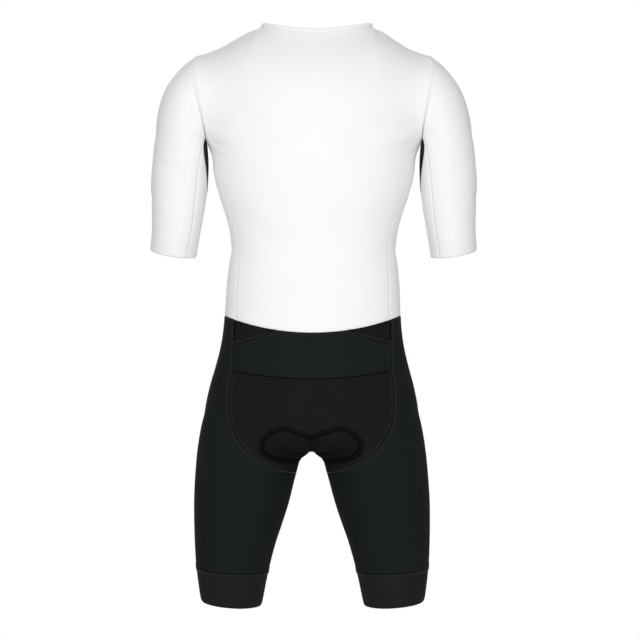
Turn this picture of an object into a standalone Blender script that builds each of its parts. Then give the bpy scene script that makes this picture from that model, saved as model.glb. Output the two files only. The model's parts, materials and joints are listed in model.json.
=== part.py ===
"""Triathlon suit: a short-sleeved, knee-length one-piece that keeps the hollow form of its wearer.

World frame in metres: +Z up, the front of the suit faces -Y and the wearer's left is +X.
The origin is the middle of the neck opening, at the height of the two neck points.
Every panel lies between its own seams on one smooth form, so neighbours meet at their seams.
"""
import math

import bmesh
import bpy
import numpy as np
from mathutils import Matrix, Vector

# Driving dimensions
WALL = 0.0012             # one layer of knit
SEAM = 0.0003             # gap left along every seam
UNDER = WALL + SEAM       # depth of a layer that lies behind another
YOKE_DEPTH = 0.0019       # depth of the layer behind the pocket
PAD_DEPTH = 0.0028        # depth of the pad behind the seat
BAND_RISE = 0.0055        # height of the neck band
BAND_WALL = 0.0018        # neck band, folded double
PAD_WALL = 0.0050         # seat pad
ROUND = 2.3               # fullness of a trunk section, 2 is an ellipse

PIT_Z = -0.1900           # underarm
PIT_ANGLE = math.radians(88)
HIP_Z = -0.6000           # the trunk divides between here ...
THIGH_Z = -0.7000         # ... and here, where each leg is a ring of its own
GRIPPER_Z = -0.8700       # seam of the elastic hem band
HEM_Z = -0.9255

NECK_HALF = 0.0885        # neck opening, half its width
NECK_BACK = 0.0560
NECK_FRONT = 0.0790
NECK_SIDE_Z = -0.0055
NECK_BACK_DIP = 0.0153
NECK_FRONT_DIP = 0.0745

ARM_TOP_Z = -0.0515       # armhole at the shoulder
ARM_DEPTH = 0.0600
ARM_MID_Z = (ARM_TOP_Z + PIT_Z) / 2
ARM_HALF = (ARM_TOP_Z - PIT_Z) / 2

WAIST_BACK_Z = -0.4930    # waist seam at the centre
WAIST_RISE = 0.0265       # its rise to the sides
POCKET_Z = -0.5640        # lower pocket seam at the centre
POCKET_RISE = 0.0115
POCKET_HALF = 0.1235      # centre to a side seam of the pocket
MOUTH_INNER = 0.0570      # the slanted pocket mouth starts here on the waist seam ...
MOUTH_DROP = 0.0355       # ... and ends this far under it at the side seam
MOUTH_BAND = 0.0060

ZIP_HALF = 0.0030         # centre front to the edge of each front panel
TAPE_HALF = 0.0130

# Trunk sections.  Columns: height, half width, depth at the back, depth at the front
TRUNK = (
    (-0.1900, 0.1710, 0.1040, 0.0980),
    (-0.2130, 0.1628, 0.1030, 0.0980),
    (-0.2420, 0.1598, 0.1020, 0.0975),
    (-0.2740, 0.1520, 0.0995, 0.0950),
    (-0.3060, 0.1410, 0.0960, 0.0910),
    (-0.3380, 0.1332, 0.0920, 0.0870),
    (-0.3600, 0.1318, 0.0900, 0.0845),
    (-0.3840, 0.1344, 0.0890, 0.0840),
    (-0.4160, 0.1378, 0.0900, 0.0855),
    (-0.4640, 0.1404, 0.0940, 0.0900),
    (-0.5120, 0.1458, 0.1000, 0.0940),
    (-0.5440, 0.1532, 0.1060, 0.0970),
    (-0.5760, 0.1622, 0.1120, 0.0990),
    (-0.6160, 0.1710, 0.1180, 0.1000),
)
# Centre lines above the underarm.  Columns: height, depth
CENTRE_BACK = ((-0.1900, 0.1040), (-0.1400, 0.1075), (-0.0900, 0.1010), (-0.0500, 0.0820), (-0.0208, 0.0560))
CENTRE_FRONT = ((-0.1900, 0.0980), (-0.1500, 0.0965), (-0.1150, 0.0905), (-0.0800, 0.0790))
# Shoulder line.  Columns: distance from the centre, height
SHOULDER = ((0.0885, -0.0055), (0.1080, -0.0130), (0.1300, -0.0262), (0.1500, -0.0380), (0.1660, -0.0448),
            (0.1855, -0.0515))
# Armhole seam.  Columns: height, distance from the centre
ARMHOLE = ((-0.1900, 0.1710), (-0.1660, 0.1735), (-0.1390, 0.1785), (-0.1100, 0.1840), (-0.0880, 0.1885),
           (-0.0700, 0.1900), (-0.0515, 0.1855))
# Sleeve sections.  Columns: station, outer x and z, inner x and z, centre y, half depth, drop at the back
SLEEVE = (
    (0.00, 0.1855, -0.0515, 0.1710, -0.1900, 0.0000, 0.0600, 0.0000),
    (0.10, 0.2060, -0.0670, 0.1707, -0.1925, 0.0000, 0.0605, 0.0000),
    (0.20, 0.2255, -0.0890, 0.1702, -0.1965, 0.0000, 0.0605, 0.0000),
    (0.30, 0.2395, -0.1130, 0.1698, -0.2030, -0.0010, 0.0590, 0.0000),
    (0.40, 0.2490, -0.1440, 0.1692, -0.2140, -0.0030, 0.0570, 0.0005),
    (0.50, 0.2550, -0.1830, 0.1690, -0.2300, -0.0060, 0.0540, 0.0010),
    (0.60, 0.2590, -0.2190, 0.1700, -0.2500, -0.0100, 0.0515, 0.0020),
    (0.70, 0.2620, -0.2550, 0.1722, -0.2770, -0.0150, 0.0490, 0.0035),
    (0.80, 0.2612, -0.2900, 0.1775, -0.3060, -0.0200, 0.0470, 0.0050),
    (0.90, 0.2610, -0.3250, 0.1840, -0.3400, -0.0260, 0.0445, 0.0060),
    (1.00, 0.2640, -0.3600, 0.1895, -0.3720, -0.0320, 0.0420, 0.0070),
)
# Seam of the panel under the arm, and the edge of the dark wedge.  Columns: station, degrees round the sleeve
UNDERSLEEVE = ((0.00, 151.6), (0.20, 149), (0.40, 141), (0.50, 136), (0.70, 131), (0.85, 133), (1.00, 132))
WEDGE = ((0.00, 160), (0.20, 156), (0.35, 152), (0.50, 163), (0.60, 172), (0.68, 180))
# Leg sections.  Columns: height, inner x, outer x, centre y, half depth
LEG = (
    (-0.7000, 0.0195, 0.1842, 0.0040, 0.0950),
    (-0.7300, 0.0280, 0.1866, 0.0040, 0.0905),
    (-0.7620, 0.0362, 0.1882, 0.0030, 0.0860),
    (-0.7940, 0.0464, 0.1884, 0.0020, 0.0815),
    (-0.8260, 0.0574, 0.1878, 0.0010, 0.0765),
    (-0.8580, 0.0664, 0.1864, 0.0000, 0.0720),
    (-0.8900, 0.0736, 0.1832, -0.0010, 0.0680),
    (-0.9255, 0.0806, 0.1784, -0.0020, 0.0650),
)
# Rise: the centre line from the hips under the crotch to the inside of a leg.  Columns: station, x, y, z
RISE_BACK = ((0.00, 0.0, 0.1160, -0.6000), (0.20, 0.0, 0.1155, -0.6260), (0.40, 0.0, 0.1030, -0.6520),
             (0.55, 0.0, 0.0770, -0.6700), (0.68, 0.0, 0.0360, -0.6795))
RISE_FRONT = ((0.00, 0.0, -0.0998, -0.6000), (0.20, 0.0, -0.0975, -0.6230), (0.40, 0.0, -0.0860, -0.6480),
              (0.55, 0.0, -0.0640, -0.6670), (0.68, 0.0, -0.0310, -0.6785))
RISE_CROTCH = ((0.78, 0.0, 0.0020, -0.6810), (0.86, 0.0090, 0.0020, -0.6845), (0.93, 0.0165, 0.0030, -0.6915),
               (1.00, 0.0195, 0.0040, -0.7000))
RISE_END = 0.78           # station where the crotch is reached
# Side seam of the back.  Columns: height, degrees from the centre back
SIDE_BACK = ((-0.1900, 88.0), (-0.2130, 81.0), (-0.2420, 71.5), (-0.2960, 67.5), (-0.3600, 62.5), (-0.3740, 61.5),
             (-0.4150, 60.5), (-0.4950, 59.0))
# Outer seam of the seat and outline of the pad, at the back.  Columns: x, z
SEAT_SEAM = ((0.1235, -0.5525), (0.1272, -0.5720), (0.1280, -0.5910), (0.1275, -0.6155), (0.1210, -0.6450),
             (0.1070, -0.6680), (0.0880, -0.6880), (0.0630, -0.7025), (0.0420, -0.7105), (0.0290, -0.7150))
PAD_OUTLINE = ((0.0377, -0.6400), (0.0600, -0.6485), (0.0740, -0.6590), (0.0780, -0.6700), (0.0680, -0.6830),
               (0.0440, -0.6925), (0.0270, -0.6960))
SEAT_TIP = -0.7180        # lowest point of the seat, on the inside of the leg
SEAT_FRONT_Z = -0.6250    # its upper end at the centre front
PAD_TIP = -0.6990
PAD_FRONT_Z = -0.6350
# Sideways lean of the hanging suit.  Columns: height, shift
LEAN = ((0.0000, -0.0050), (-0.0250, -0.0010), (-0.0600, 0.0010), (-0.2000, 0.0000), (-0.3600, 0.0008),
        (-0.5000, 0.0025), (-0.6600, 0.0040), (-0.8000, 0.0030), (-0.9255, 0.0020))

FINISH = {
    "white_knit": ((0.86, 0.86, 0.86), 0.78, 0.0),
    "grey_knit": ((0.72, 0.72, 0.72), 0.80, 0.0),
    "dark_mesh": ((0.040, 0.040, 0.042), 0.85, 0.0),
    "black_knit": ((0.012, 0.015, 0.016), 0.70, 0.0),
    "matte_black_knit": ((0.014, 0.014, 0.014), 0.88, 0.0),
    "black_elastic": ((0.016, 0.017, 0.018), 0.75, 0.0),
    "pad_foam": ((0.030, 0.031, 0.033), 0.90, 0.0),
    "tape_white": ((0.80, 0.80, 0.80), 0.75, 0.0),
    "zip_metal": ((0.55, 0.55, 0.56), 0.35, 1.0),
}


# Form

def smooth(table, station):
    """Other columns of a table at a station, on a smooth curve through its rows."""
    rows = np.array(table, float)
    if rows[0, 0] > rows[-1, 0]:
        rows = rows[::-1]
    keys = rows[:, 0]
    station = min(max(station, keys[0]), keys[-1])
    slopes = np.gradient(rows[:, 1:], keys, axis=0)
    i = min(int(np.searchsorted(keys, station, side="right")) - 1, len(keys) - 2)
    step = keys[i + 1] - keys[i]
    t = (station - keys[i]) / step
    start = (1 + 2 * t) * (1 - t) ** 2 * rows[i, 1:] + t * (1 - t) ** 2 * step * slopes[i]
    end = t * t * (3 - 2 * t) * rows[i + 1, 1:] - t * t * (1 - t) * step * slopes[i + 1]
    return start + end


def ease(t):
    """0 to 1 with a level start and end."""
    return (1 - math.cos(math.pi * t)) / 2


def trunk(z, angle):
    """Point of the trunk: the angle runs from the centre back towards the left side."""
    half, back, front = smooth(TRUNK, z)
    across = math.sin(angle)
    along = math.cos(angle)
    depth = back if along >= 0 else -front
    return np.array((half * across, depth * max(0.0, 1 - abs(across) ** ROUND) ** (1 / ROUND), z))


def armhole(turn):
    """Point of the left armhole seam: turn 0 at the shoulder, 90 degrees at the back, 180 underarm."""
    z = ARM_MID_Z + ARM_HALF * math.cos(turn)
    return np.array((smooth(ARMHOLE, z)[0], ARM_DEPTH * math.sin(turn), z))


def pit_turn():
    """Turn of the armhole at which the back panel meets the side panel."""
    return math.pi - math.asin(trunk(PIT_Z, PIT_ANGLE)[1] / ARM_DEPTH)


def neckline(turn, rise=0.0):
    """Point of the neck seam, or of the band above it: turn 0 at the centre back, 90 degrees at the left."""
    across = math.sin(turn)
    along = math.cos(turn)
    depth, dip = (NECK_BACK, NECK_BACK_DIP) if along >= 0 else (NECK_FRONT, NECK_FRONT_DIP)
    lean_in = 0.3 * rise
    return np.array(((NECK_HALF - lean_in) * across, (depth - lean_in) * along, NECK_SIDE_Z - dip * along ** 2 + rise))


def yoke(u, t, side):
    """Point above the underarm: u from centre 0 to armhole 1, t from underarm 0 to shoulder 1, side 1 is back."""
    table = CENTRE_BACK if side > 0 else CENTRE_FRONT
    crest_z, crest_y = table[-1]
    low = trunk(PIT_Z, PIT_ANGLE * u if side > 0 else math.pi - PIT_ANGLE * u)
    if u <= 0.5:
        top = neckline(math.pi * u if side > 0 else math.pi - math.pi * u)
    else:
        x = NECK_HALF + (SHOULDER[-1][0] - NECK_HALF) * (2 * u - 1)
        top = np.array((x, 0.0, smooth(SHOULDER, x)[0]))
    seam = armhole(pit_turn() * (1 - t))
    g, h = ease(u), ease(t)
    x = (1 - h) * low[0] + h * top[0] + g * (seam[0] - (1 - h) * armhole(pit_turn())[0] - h * SHOULDER[-1][0])
    z = PIT_Z + h * (top[2] - PIT_Z) + g * (seam[2] - PIT_Z - h * (ARM_TOP_Z - PIT_Z))
    centre = smooth(table, PIT_Z + h * (crest_z - PIT_Z))[0]
    full = abs(low[1]) / table[0][1]
    close = abs(top[1]) / (full * crest_y)
    roll = 1 - (1 - close) * t ** 4
    edge = abs(trunk(PIT_Z, PIT_ANGLE)[1]) / table[0][1] * centre * (1 - t ** 4)
    return np.array((x, side * (full * centre * roll + u ** 4 * (seam[1] - edge)), z))


def sleeve(s, turn):
    """Point of the left sleeve: station 0 at the armhole, 1 at the hem."""
    ox, oz, ix, iz, mid, depth, drop = smooth(SLEEVE, s)
    across = math.cos(turn)
    point = np.array(((ox + ix) / 2 + (ox - ix) / 2 * across, mid + depth * math.sin(turn),
                      (oz + iz) / 2 + (oz - iz) / 2 * across - drop * math.sin(turn)))
    if s < 0.2:
        first = SLEEVE[0]
        flat = (first[1] + first[3]) / 2 + (first[1] - first[3]) / 2 * across
        point[0] += (armhole(turn)[0] - flat) * (1 - s / 0.2) ** 2
    return point


def leg(z, turn):
    """Point of the left leg: turn 0 outside, 90 degrees at the back, 180 on the inside."""
    inner, outer, mid, depth = smooth(LEG, z)
    return np.array(((inner + outer) / 2 + (outer - inner) / 2 * math.cos(turn), mid + depth * math.sin(turn), z))


def blend(start, end, leave, arrive, t):
    """Smooth path between two points with the directions it leaves and arrives in."""
    return ((1 + 2 * t) * (1 - t) ** 2 * start + t * (1 - t) ** 2 * leave
            + t * t * (3 - 2 * t) * end - t * t * (1 - t) * arrive)


def path(t, turn):
    """Plain path from the hips to the top of the leg, before the rise is worked in."""
    span = HIP_Z - THIGH_Z
    step = 0.002
    angle = math.pi / 2 - turn / 2
    start = trunk(HIP_Z, angle)
    end = leg(THIGH_Z, turn)
    leave = (trunk(HIP_Z - step, angle) - start) * span / step
    arrive = (leg(THIGH_Z - step, turn) - end) * span / step
    return blend(start, end, leave, arrive, t)


def rise(t, back):
    """Centre line from the hips under the crotch to the inside of a leg."""
    if t >= RISE_END:
        return smooth(RISE_CROTCH, t)
    point = smooth((RISE_BACK if back else RISE_FRONT) + RISE_CROTCH, t)
    point[0] = 0.0
    return point


def hips(t, turn):
    """Point between the hips and the leg: the loop hangs from the rise on the inside."""
    point = path(t, turn)
    reach = min(max((abs(turn) - math.radians(95)) / math.radians(85), 0.0), 1.0)
    if reach > 0:
        edge = math.copysign(math.pi, turn)
        point = point + (rise(t, turn > 0) - path(t, edge)) * reach ** 2 * (3 - 2 * reach)
        point[0] = max(point[0], 0.0)
    return point


def lower(v, turn):
    """Point of the left half below the waist, by its height at the side and the turn round the leg."""
    if v >= HIP_Z:
        return trunk(v, math.pi / 2 - turn / 2)
    if v <= THIGH_Z:
        return leg(v, turn)
    return hips((HIP_Z - v) / (HIP_Z - THIGH_Z), turn)


def find(x, z):
    """Height at the side and turn of the point of the back that shows at x and z."""
    v, turn = z, math.radians(110)
    reach_v, reach_turn = 0.06, math.radians(70)
    for _ in range(14):
        tries = [(v + i * reach_v / 3, turn + j * reach_turn / 3) for i in range(-3, 4) for j in range(-3, 4)]
        tries = [(a, min(max(b, 0.0), math.pi)) for a, b in tries]
        v, turn = min(tries, key=lambda w: math.hypot(*(lower(*w)[[0, 2]] - (x, z))))
        reach_v, reach_turn = reach_v * 0.6, reach_turn * 0.6
    return v, turn


def waist(across):
    """Height of the waist seam, from the sine of the angle round the trunk."""
    return WAIST_BACK_Z + WAIST_RISE * across ** 2


def pocket_floor(x):
    """Height of the lower pocket seam."""
    return POCKET_Z + POCKET_RISE * (x / POCKET_HALF) ** 2


def spread(start, end, count):
    """Evenly spaced values, both ends included."""
    return [start + (end - start) * i / count for i in range(count + 1)]


def at_x(x, z):
    """Point of the back of the trunk at x and a height."""
    half = smooth(TRUNK, z)[0]
    return trunk(z, math.asin(x / half))


# Building

def material(name):
    """Principled material of a named finish."""
    found = bpy.data.materials.get(name)
    if found:
        return found
    colour, roughness, metallic = FINISH[name]
    made = bpy.data.materials.new(name)
    made.use_nodes = True
    shader = made.node_tree.nodes["Principled BSDF"]
    shader.inputs["Base Color"].default_value = (*colour, 1.0)
    shader.inputs["Roughness"].default_value = roughness
    shader.inputs["Metallic"].default_value = metallic
    made.diffuse_color = (*colour, 1.0)
    return made


def add_object(name, mesh, finish, home):
    """Object of a mesh with its finish, in a collection."""
    part = bpy.data.objects.new(name, mesh)
    mesh.materials.append(material(finish))
    home.objects.link(part)
    return part


def add_patch(bm, rows):
    """Quads between rows of points."""
    grid = [[bm.verts.new(point) for point in row] for row in rows]
    for low, high in zip(grid, grid[1:]):
        for i in range(len(low) - 1):
            bm.faces.new((low[i], low[i + 1], high[i + 1], high[i]))


def mirrored(rows):
    """Rows of points on the other side of the centre."""
    return [[point * (-1, 1, 1) for point in row] for row in rows]


def face_out(bm, core):
    """Turn every face away from the core point of its patch."""
    bmesh.ops.recalc_face_normals(bm, faces=bm.faces)
    lean_out = sum(face.normal.dot(face.calc_center_median() - core) * face.calc_area() for face in bm.faces)
    if lean_out < 0:
        bmesh.ops.reverse_faces(bm, faces=bm.faces)


def seam_shift(vert, amount):
    """Move of an edge point into its own panel, square to its seams."""
    move = vert.co * 0
    for edge in vert.link_edges:
        if not edge.is_boundary:
            continue
        face = edge.link_faces[0]
        along = (edge.verts[1].co - edge.verts[0].co).normalized()
        inward = along.cross(vert.normal).normalized()
        if inward.dot(face.calc_center_median() - edge.verts[0].co) < 0:
            inward = -inward
        move += inward
    if move.length < 1e-6:
        return move
    half_angle = max(0.35, move.length / 2)
    return move.normalized() * amount / half_angle


def edge_normal(vert):
    """Normal of an edge point, with the bend of the panel behind it carried on to its edge."""
    behind = [edge.other_vert(vert).normal for edge in vert.link_edges if not edge.is_boundary]
    if not behind and len(vert.link_faces) == 1 and len(vert.link_faces[0].verts) == 4:
        around = [edge.other_vert(vert) for edge in vert.link_edges]
        behind = [v.normal for v in vert.link_faces[0].verts if v is not vert and v not in around]
    if not behind:
        return vert.normal.copy()
    return (2 * vert.normal - sum(behind, Vector()) / len(behind)).normalized()


def thicken(bm, normals, wall):
    """Close an open panel with an inner face and a rim."""
    inner = {vert: bm.verts.new(vert.co - normal * wall) for vert, normal in normals.items()}
    rim = [loop for edge in bm.edges if edge.is_boundary for loop in edge.link_loops]
    sides = [(loop.link_loop_next.vert, loop.vert) for loop in rim]
    for face in bm.faces[:]:
        bm.faces.new([inner[vert] for vert in reversed(face.verts)])
    for start, end in sides:
        bm.faces.new((start, end, inner[end], inner[start]))


def surface(name, patches, finish, home, depth=0.0, wall=WALL, core=None, inset=SEAM / 2):
    """Panel: patches of the form joined, drawn in from their seams and thickened inwards."""
    bm = bmesh.new()
    for rows in patches:
        add_patch(bm, rows)
    bmesh.ops.remove_doubles(bm, verts=bm.verts, dist=0.00002)
    bmesh.ops.dissolve_degenerate(bm, edges=bm.edges, dist=0.00002)
    middle = Vector(core) if core else sum((vert.co for vert in bm.verts), Vector()) / len(bm.verts)
    face_out(bm, middle)
    bm.normal_update()
    normals = {vert: edge_normal(vert) if vert.is_boundary else vert.normal.copy() for vert in bm.verts}
    moves = {vert: seam_shift(vert, inset) for vert in bm.verts if vert.is_boundary}
    for vert, normal in normals.items():
        vert.co += moves.get(vert, Vector()) - normal * depth
        vert.co.x += smooth(LEAN, vert.co.z)[0]
    bmesh.ops.triangulate(bm, faces=bm.faces[:], quad_method="SHORT_EDGE")
    thicken(bm, normals, wall)
    mesh = bpy.data.meshes.new(name)
    bm.to_mesh(mesh)
    bm.free()
    add_object(name, mesh, finish, home)


def both(name, rows, finish, home, **options):
    """Left panel and its mirror image."""
    surface(name + "_left", rows, finish, home, **options)
    if options.get("core"):
        options["core"] = (-options["core"][0],) + tuple(options["core"][1:])
    surface(name + "_right", [mirrored(patch) for patch in rows], finish, home, **options)


# Upper pieces

COLUMNS = (0.0, 0.1, 0.2, 0.3, 0.4, 0.5, 0.66, 0.83, 1.0)   # centre, neck side at 0.5, armhole
LOW_ROWS = 8              # rows from the waist to the underarm
HIGH_STEPS = (0.13, 0.29, 0.45, 0.62, 0.79, 0.93, 1.0)   # underarm to shoulder, closer at the roll


def side_seam(r, front=False):
    """Point of a side seam: r is 0 at the waist and 1 underarm."""
    z = PIT_Z
    for _ in range(4):
        angle = math.radians(smooth(SIDE_BACK, z)[0])
        low = waist(math.sin(angle))
        z = low + (PIT_Z - low) * r
    return (math.pi - angle if front else angle), z


def wrap(r, angles):
    """Row round the trunk, part r of the way from the waist to the underarm."""
    row = []
    for angle in angles:
        low = waist(math.sin(angle))
        row.append(trunk(low + (PIT_Z - low) * r, angle))
    return row


def across_both(half):
    """Row of the left half and its mirror image."""
    return [point * (-1, 1, 1) for point in reversed(half[1:])] + half


def add_upper(home):
    """White panels of the trunk and the neck band."""
    low = spread(0, 1, LOW_ROWS)
    high = HIGH_STEPS
    back = [across_both(wrap(r, [side_seam(r)[0] * u for u in COLUMNS])) for r in low]
    back += [across_both([yoke(u, t, 1) for u in COLUMNS]) for t in high]
    surface("back_panel", [back], "white_knit", home)

    start = ZIP_HALF / (NECK_HALF * math.pi)
    columns = (start,) + COLUMNS[1:]
    front = []
    for r in low:
        far = math.pi - side_seam(r, front=True)[0]
        front.append(wrap(r, [math.pi - far * u for u in columns]))
    front += [[yoke(u, t, -1) for u in columns] for t in high]
    both("front", [front], "white_knit", home)

    side = [wrap(r, spread(side_seam(r)[0], side_seam(r, front=True)[0], 6)) for r in low]
    both("side", [side], "white_knit", home, core=(0, 0, -0.35))

    turns = [math.pi * u for u in COLUMNS[:6]] + [math.pi - math.pi * u for u in reversed(columns[:5])]
    band = [across_both([neckline(turn, rise) for turn in turns]) for rise in (0.0, BAND_RISE)]
    surface("neck_binding", [band], "white_knit", home, wall=BAND_WALL, core=(0, 0, -0.05))

    tape = []
    for r in low:
        tape.append(wrap(r, [math.pi + side * TAPE_HALF / smooth(TRUNK, PIT_Z)[0] for side in (1, 0, -1)]))
    reach = TAPE_HALF / (NECK_HALF * math.pi)
    tape += [across_both([yoke(0.0, t, -1), yoke(reach, t, -1)]) for t in high]
    surface("zip_tape", [tape], "tape_white", home, depth=UNDER)


def add_sleeves(home):
    """Sleeves with the panel and the dark wedge under the arm."""
    stations = [0.0, 0.09, 0.19, 0.29, 0.39, 0.52, 0.68, 0.84, 1.0]
    outer, near, far, wedge = [], [], [], []
    for s in stations:
        seam = math.radians(smooth(UNDERSLEEVE, s)[0]) if s > 0 else pit_turn() * (1 - HIGH_STEPS[0])
        edge = math.radians(min(180.0, smooth(WEDGE, s)[0])) if s < 0.68 else math.pi
        shares = [(1 - t) / (1 - HIGH_STEPS[0]) for t in HIGH_STEPS]
        turns = [-seam * share for share in shares[:-1]] + [seam * share for share in reversed(shares)]
        outer.append([sleeve(s, turn) for turn in turns])
        near.append([sleeve(s, turn) for turn in spread(seam, edge, 2)])
        far.append([sleeve(s, turn) for turn in spread(2 * math.pi - seam, 2 * math.pi - edge, 2)])
        if s <= 0.68:
            wedge.append([sleeve(s, turn) for turn in spread(edge, 2 * math.pi - edge, 2)])
    both("sleeve", [outer], "white_knit", home, core=(0.22, 0, -0.2), inset=0.0007)
    both("undersleeve", [near, far], "grey_knit", home, core=(0.24, 0, -0.25))
    both("gusset", [wedge], "dark_mesh", home, core=(0.24, 0, -0.22))


# Lower pieces

CROTCH_V = HIP_Z - RISE_END * (HIP_Z - THIGH_Z)
SEAT_LEVELS = (SEAT_SEAM[0][1], -0.5950, PAD_OUTLINE[0][1], -0.6550, -0.6675, CROTCH_V, -0.6870,
               PAD_OUTLINE[-1][1], -0.7070, -0.7120, -0.7148, -0.7168, SEAT_TIP)
PAD_ROWS = (2, 7)         # first and last row of the pad
FRONT_LEVELS = SEAT_LEVELS[PAD_ROWS[0]:]


def located(points, tip):
    """Seam as heights and turns, down to its tip on the inside of the leg."""
    return tuple(find(x, z) for x, z in points) + ((tip, math.pi),)


def front_turn(v):
    """Turn of the front edge of the seat: it widens from a point and closes to a point."""
    part = min(max((SEAT_FRONT_Z - v) / (SEAT_FRONT_Z - SEAT_TIP), 0.0), 1.0)
    return math.pi - math.radians(34) * math.sin(math.pi * part) ** 0.8


def add_seat(home):
    """Seat panel, and the pad inside it made from the seat's own points."""
    seam = located(SEAT_SEAM, SEAT_TIP)
    pad = tuple(find(x, z) for x, z in PAD_OUTLINE)
    shares = tuple((v, (turn - smooth(seam, v)[0]) / (math.pi - smooth(seam, v)[0])) for v, turn in pad)
    back = []
    for i, v in enumerate(SEAT_LEVELS):
        edge = smooth(seam, v)[0]
        mid = edge + (math.pi - edge) * smooth(shares, v)[0]
        turns = spread(edge, mid, 3)[:-1] + spread(mid, math.pi, 4)
        sag = max(0.0, 1 - i / PAD_ROWS[0])
        xs = [lower(v, turn)[0] for turn in turns]
        back.append([lower(v + sag * (pocket_floor(x) - SEAT_LEVELS[0]), turn) for x, turn in zip(xs, turns)])
    front = [[lower(SEAT_FRONT_Z, -math.pi)] * 7]
    for v in FRONT_LEVELS:
        edge = front_turn(v)
        mid = edge + (math.pi - edge) * 0.4
        front.append([lower(v, -turn) for turn in spread(edge, mid, 2)[:-1] + spread(mid, math.pi, 4)])
    half = [back, front]
    surface("seat_panel", half + [mirrored(rows) for rows in half], "matte_black_knit", home, core=(0, 0, -0.6))
    first, last = PAD_ROWS
    half = [[row[3:] for row in back[first:last + 1]], [row[2:] for row in front[1:last - first + 2]]]
    surface("chamois_pad", half + [mirrored(rows) for rows in half], "pad_foam", home, depth=PAD_DEPTH,
            wall=PAD_WALL, core=(0, 0, -0.6))


def pocket_turn(v):
    """Turn of the side seam of the pocket."""
    return math.pi - 2 * math.asin(POCKET_HALF / smooth(TRUNK, v)[0])


def leg_row_at_top(r, count, seat_top):
    """Row of a leg panel between the waist seam and the top of the seat."""
    v = seat_top
    for _ in range(4):
        edge = pocket_turn(v)
        v = waist(math.cos(edge / 2)) * (1 - r) + seat_top * r
    row = []
    for turn in spread(edge, -math.pi, count):
        row.append(lower(waist(math.cos(turn / 2)) * (1 - r) + seat_top * r, turn))
    return row


def add_legs(home):
    """Leg panels round the outside to the centre front, with their elastic hem bands."""
    seam = located(SEAT_SEAM, SEAT_TIP)
    count = 16
    rows = [leg_row_at_top(r, count, SEAT_LEVELS[0]) for r in spread(0, 1, 3)[:-1]]
    for v in SEAT_LEVELS:
        rows.append([lower(v, turn) for turn in spread(smooth(seam, v)[0], -front_turn(v), count)])
    for v in spread(SEAT_TIP, GRIPPER_Z, 3)[1:]:
        rows.append([lower(v, turn) for turn in spread(math.pi, -math.pi, count)])
    both("leg", [rows], "black_knit", home, core=(0.1, 0, -0.75))
    hem = [[lower(v, turn) for turn in spread(math.pi, -math.pi, count)] for v in spread(GRIPPER_Z, HEM_Z, 2)]
    both("gripper", [hem], "black_elastic", home, core=(0.13, 0, -0.9))


def mouth(x):
    """Height of the top edge of the pocket, and the width of its band there."""
    x = abs(x)
    top = waist(x / smooth(TRUNK, WAIST_BACK_Z)[0])
    if x <= MOUTH_INNER:
        return top, 0.0
    part = (x - MOUTH_INNER) / (POCKET_HALF - MOUTH_INNER)
    inner = waist(MOUTH_INNER / smooth(TRUNK, WAIST_BACK_Z)[0])
    outer = waist(POCKET_HALF / smooth(TRUNK, WAIST_BACK_Z)[0]) - MOUTH_DROP
    return inner + (outer - inner) * part, MOUTH_BAND * ease(min(1.0, part * 3))


def add_pocket(home):
    """Pocket across the lower back, its bound mouths and the layer behind it."""
    side = spread(MOUTH_INNER, POCKET_HALF, 5)
    across = [-x for x in reversed(side[1:])] + spread(-MOUTH_INNER, MOUTH_INNER, 8) + side[1:]
    front = [[at_x(x, pocket_floor(x) * (1 - r) + (mouth(x)[0] - mouth(x)[1]) * r) for x in across]
             for r in spread(0, 1, 2)]
    surface("pocket_panel", [front], "black_knit", home)
    band = [[at_x(x, mouth(x)[0] - mouth(x)[1] * r) for x in side] for r in (1, 0)]
    both("pocket_binding", [band], "black_knit", home)
    behind = []
    for r in spread(0, 1, 2):
        tops = [waist(x / smooth(TRUNK, WAIST_BACK_Z)[0]) for x in across]
        behind.append([at_x(x, pocket_floor(x) * (1 - r) + top * r) for x, top in zip(across, tops)])
    surface("back_yoke", [behind], "matte_black_knit", home, depth=YOKE_DEPTH)


# Zip

SLIDER_Z = -0.1050
SLIDER_SIZE = (0.0085, 0.0100, 0.0022)     # width, length, thickness
LIFT = 0.0004                              # slider over the panels
PIN_RADIUS = 0.0005
PIN_LIFT = 0.0047                          # pin over the panels
EYE_OUTER = 0.0015
EYE_INNER = 0.0009
PULL_WIDTH = 0.0042
PULL_LENGTH = 0.0220
PULL_WALL = 0.0012
PULL_TILT = math.radians(9.5)              # the pull's end rests on the panels


def zip_point(z):
    """Point of the centre front above the underarm at a height."""
    low, high = 0.0, 1.0
    for _ in range(30):
        t = (low + high) / 2
        low, high = (t, high) if yoke(0.0, t, -1)[2] < z else (low, t)
    return yoke(0.0, t, -1)


def block(bm, low, high):
    """Box between two corners."""
    corners = [(x, y, z) for x in (low[0], high[0]) for y in (low[1], high[1]) for z in (low[2], high[2])]
    bmesh.ops.convex_hull(bm, input=[bm.verts.new(corner) for corner in corners])


def cylinder(bm, radius, half):
    """Closed round bar along X through the origin."""
    bmesh.ops.create_cone(bm, cap_ends=True, segments=16, radius1=radius, radius2=radius, depth=2 * half,
                          matrix=Matrix.Rotation(math.pi / 2, 4, 'Y'))


def solid(name, build, home, finish="zip_metal"):
    """Object made by a function that fills a mesh."""
    bm = bmesh.new()
    build(bm)
    bmesh.ops.recalc_face_normals(bm, faces=bm.faces)
    mesh = bpy.data.meshes.new(name)
    bm.to_mesh(mesh)
    bm.free()
    return add_object(name, mesh, finish, home)


def combine(part, tool, operation):
    """Boolean with a tool that isn't part of the suit."""
    tool.hide_render = True
    tool.display_type = 'WIRE'
    tool.parent = part
    join = part.modifiers.new(tool.name, 'BOOLEAN')
    join.object = tool
    join.operation = operation
    join.solver = 'EXACT'


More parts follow.
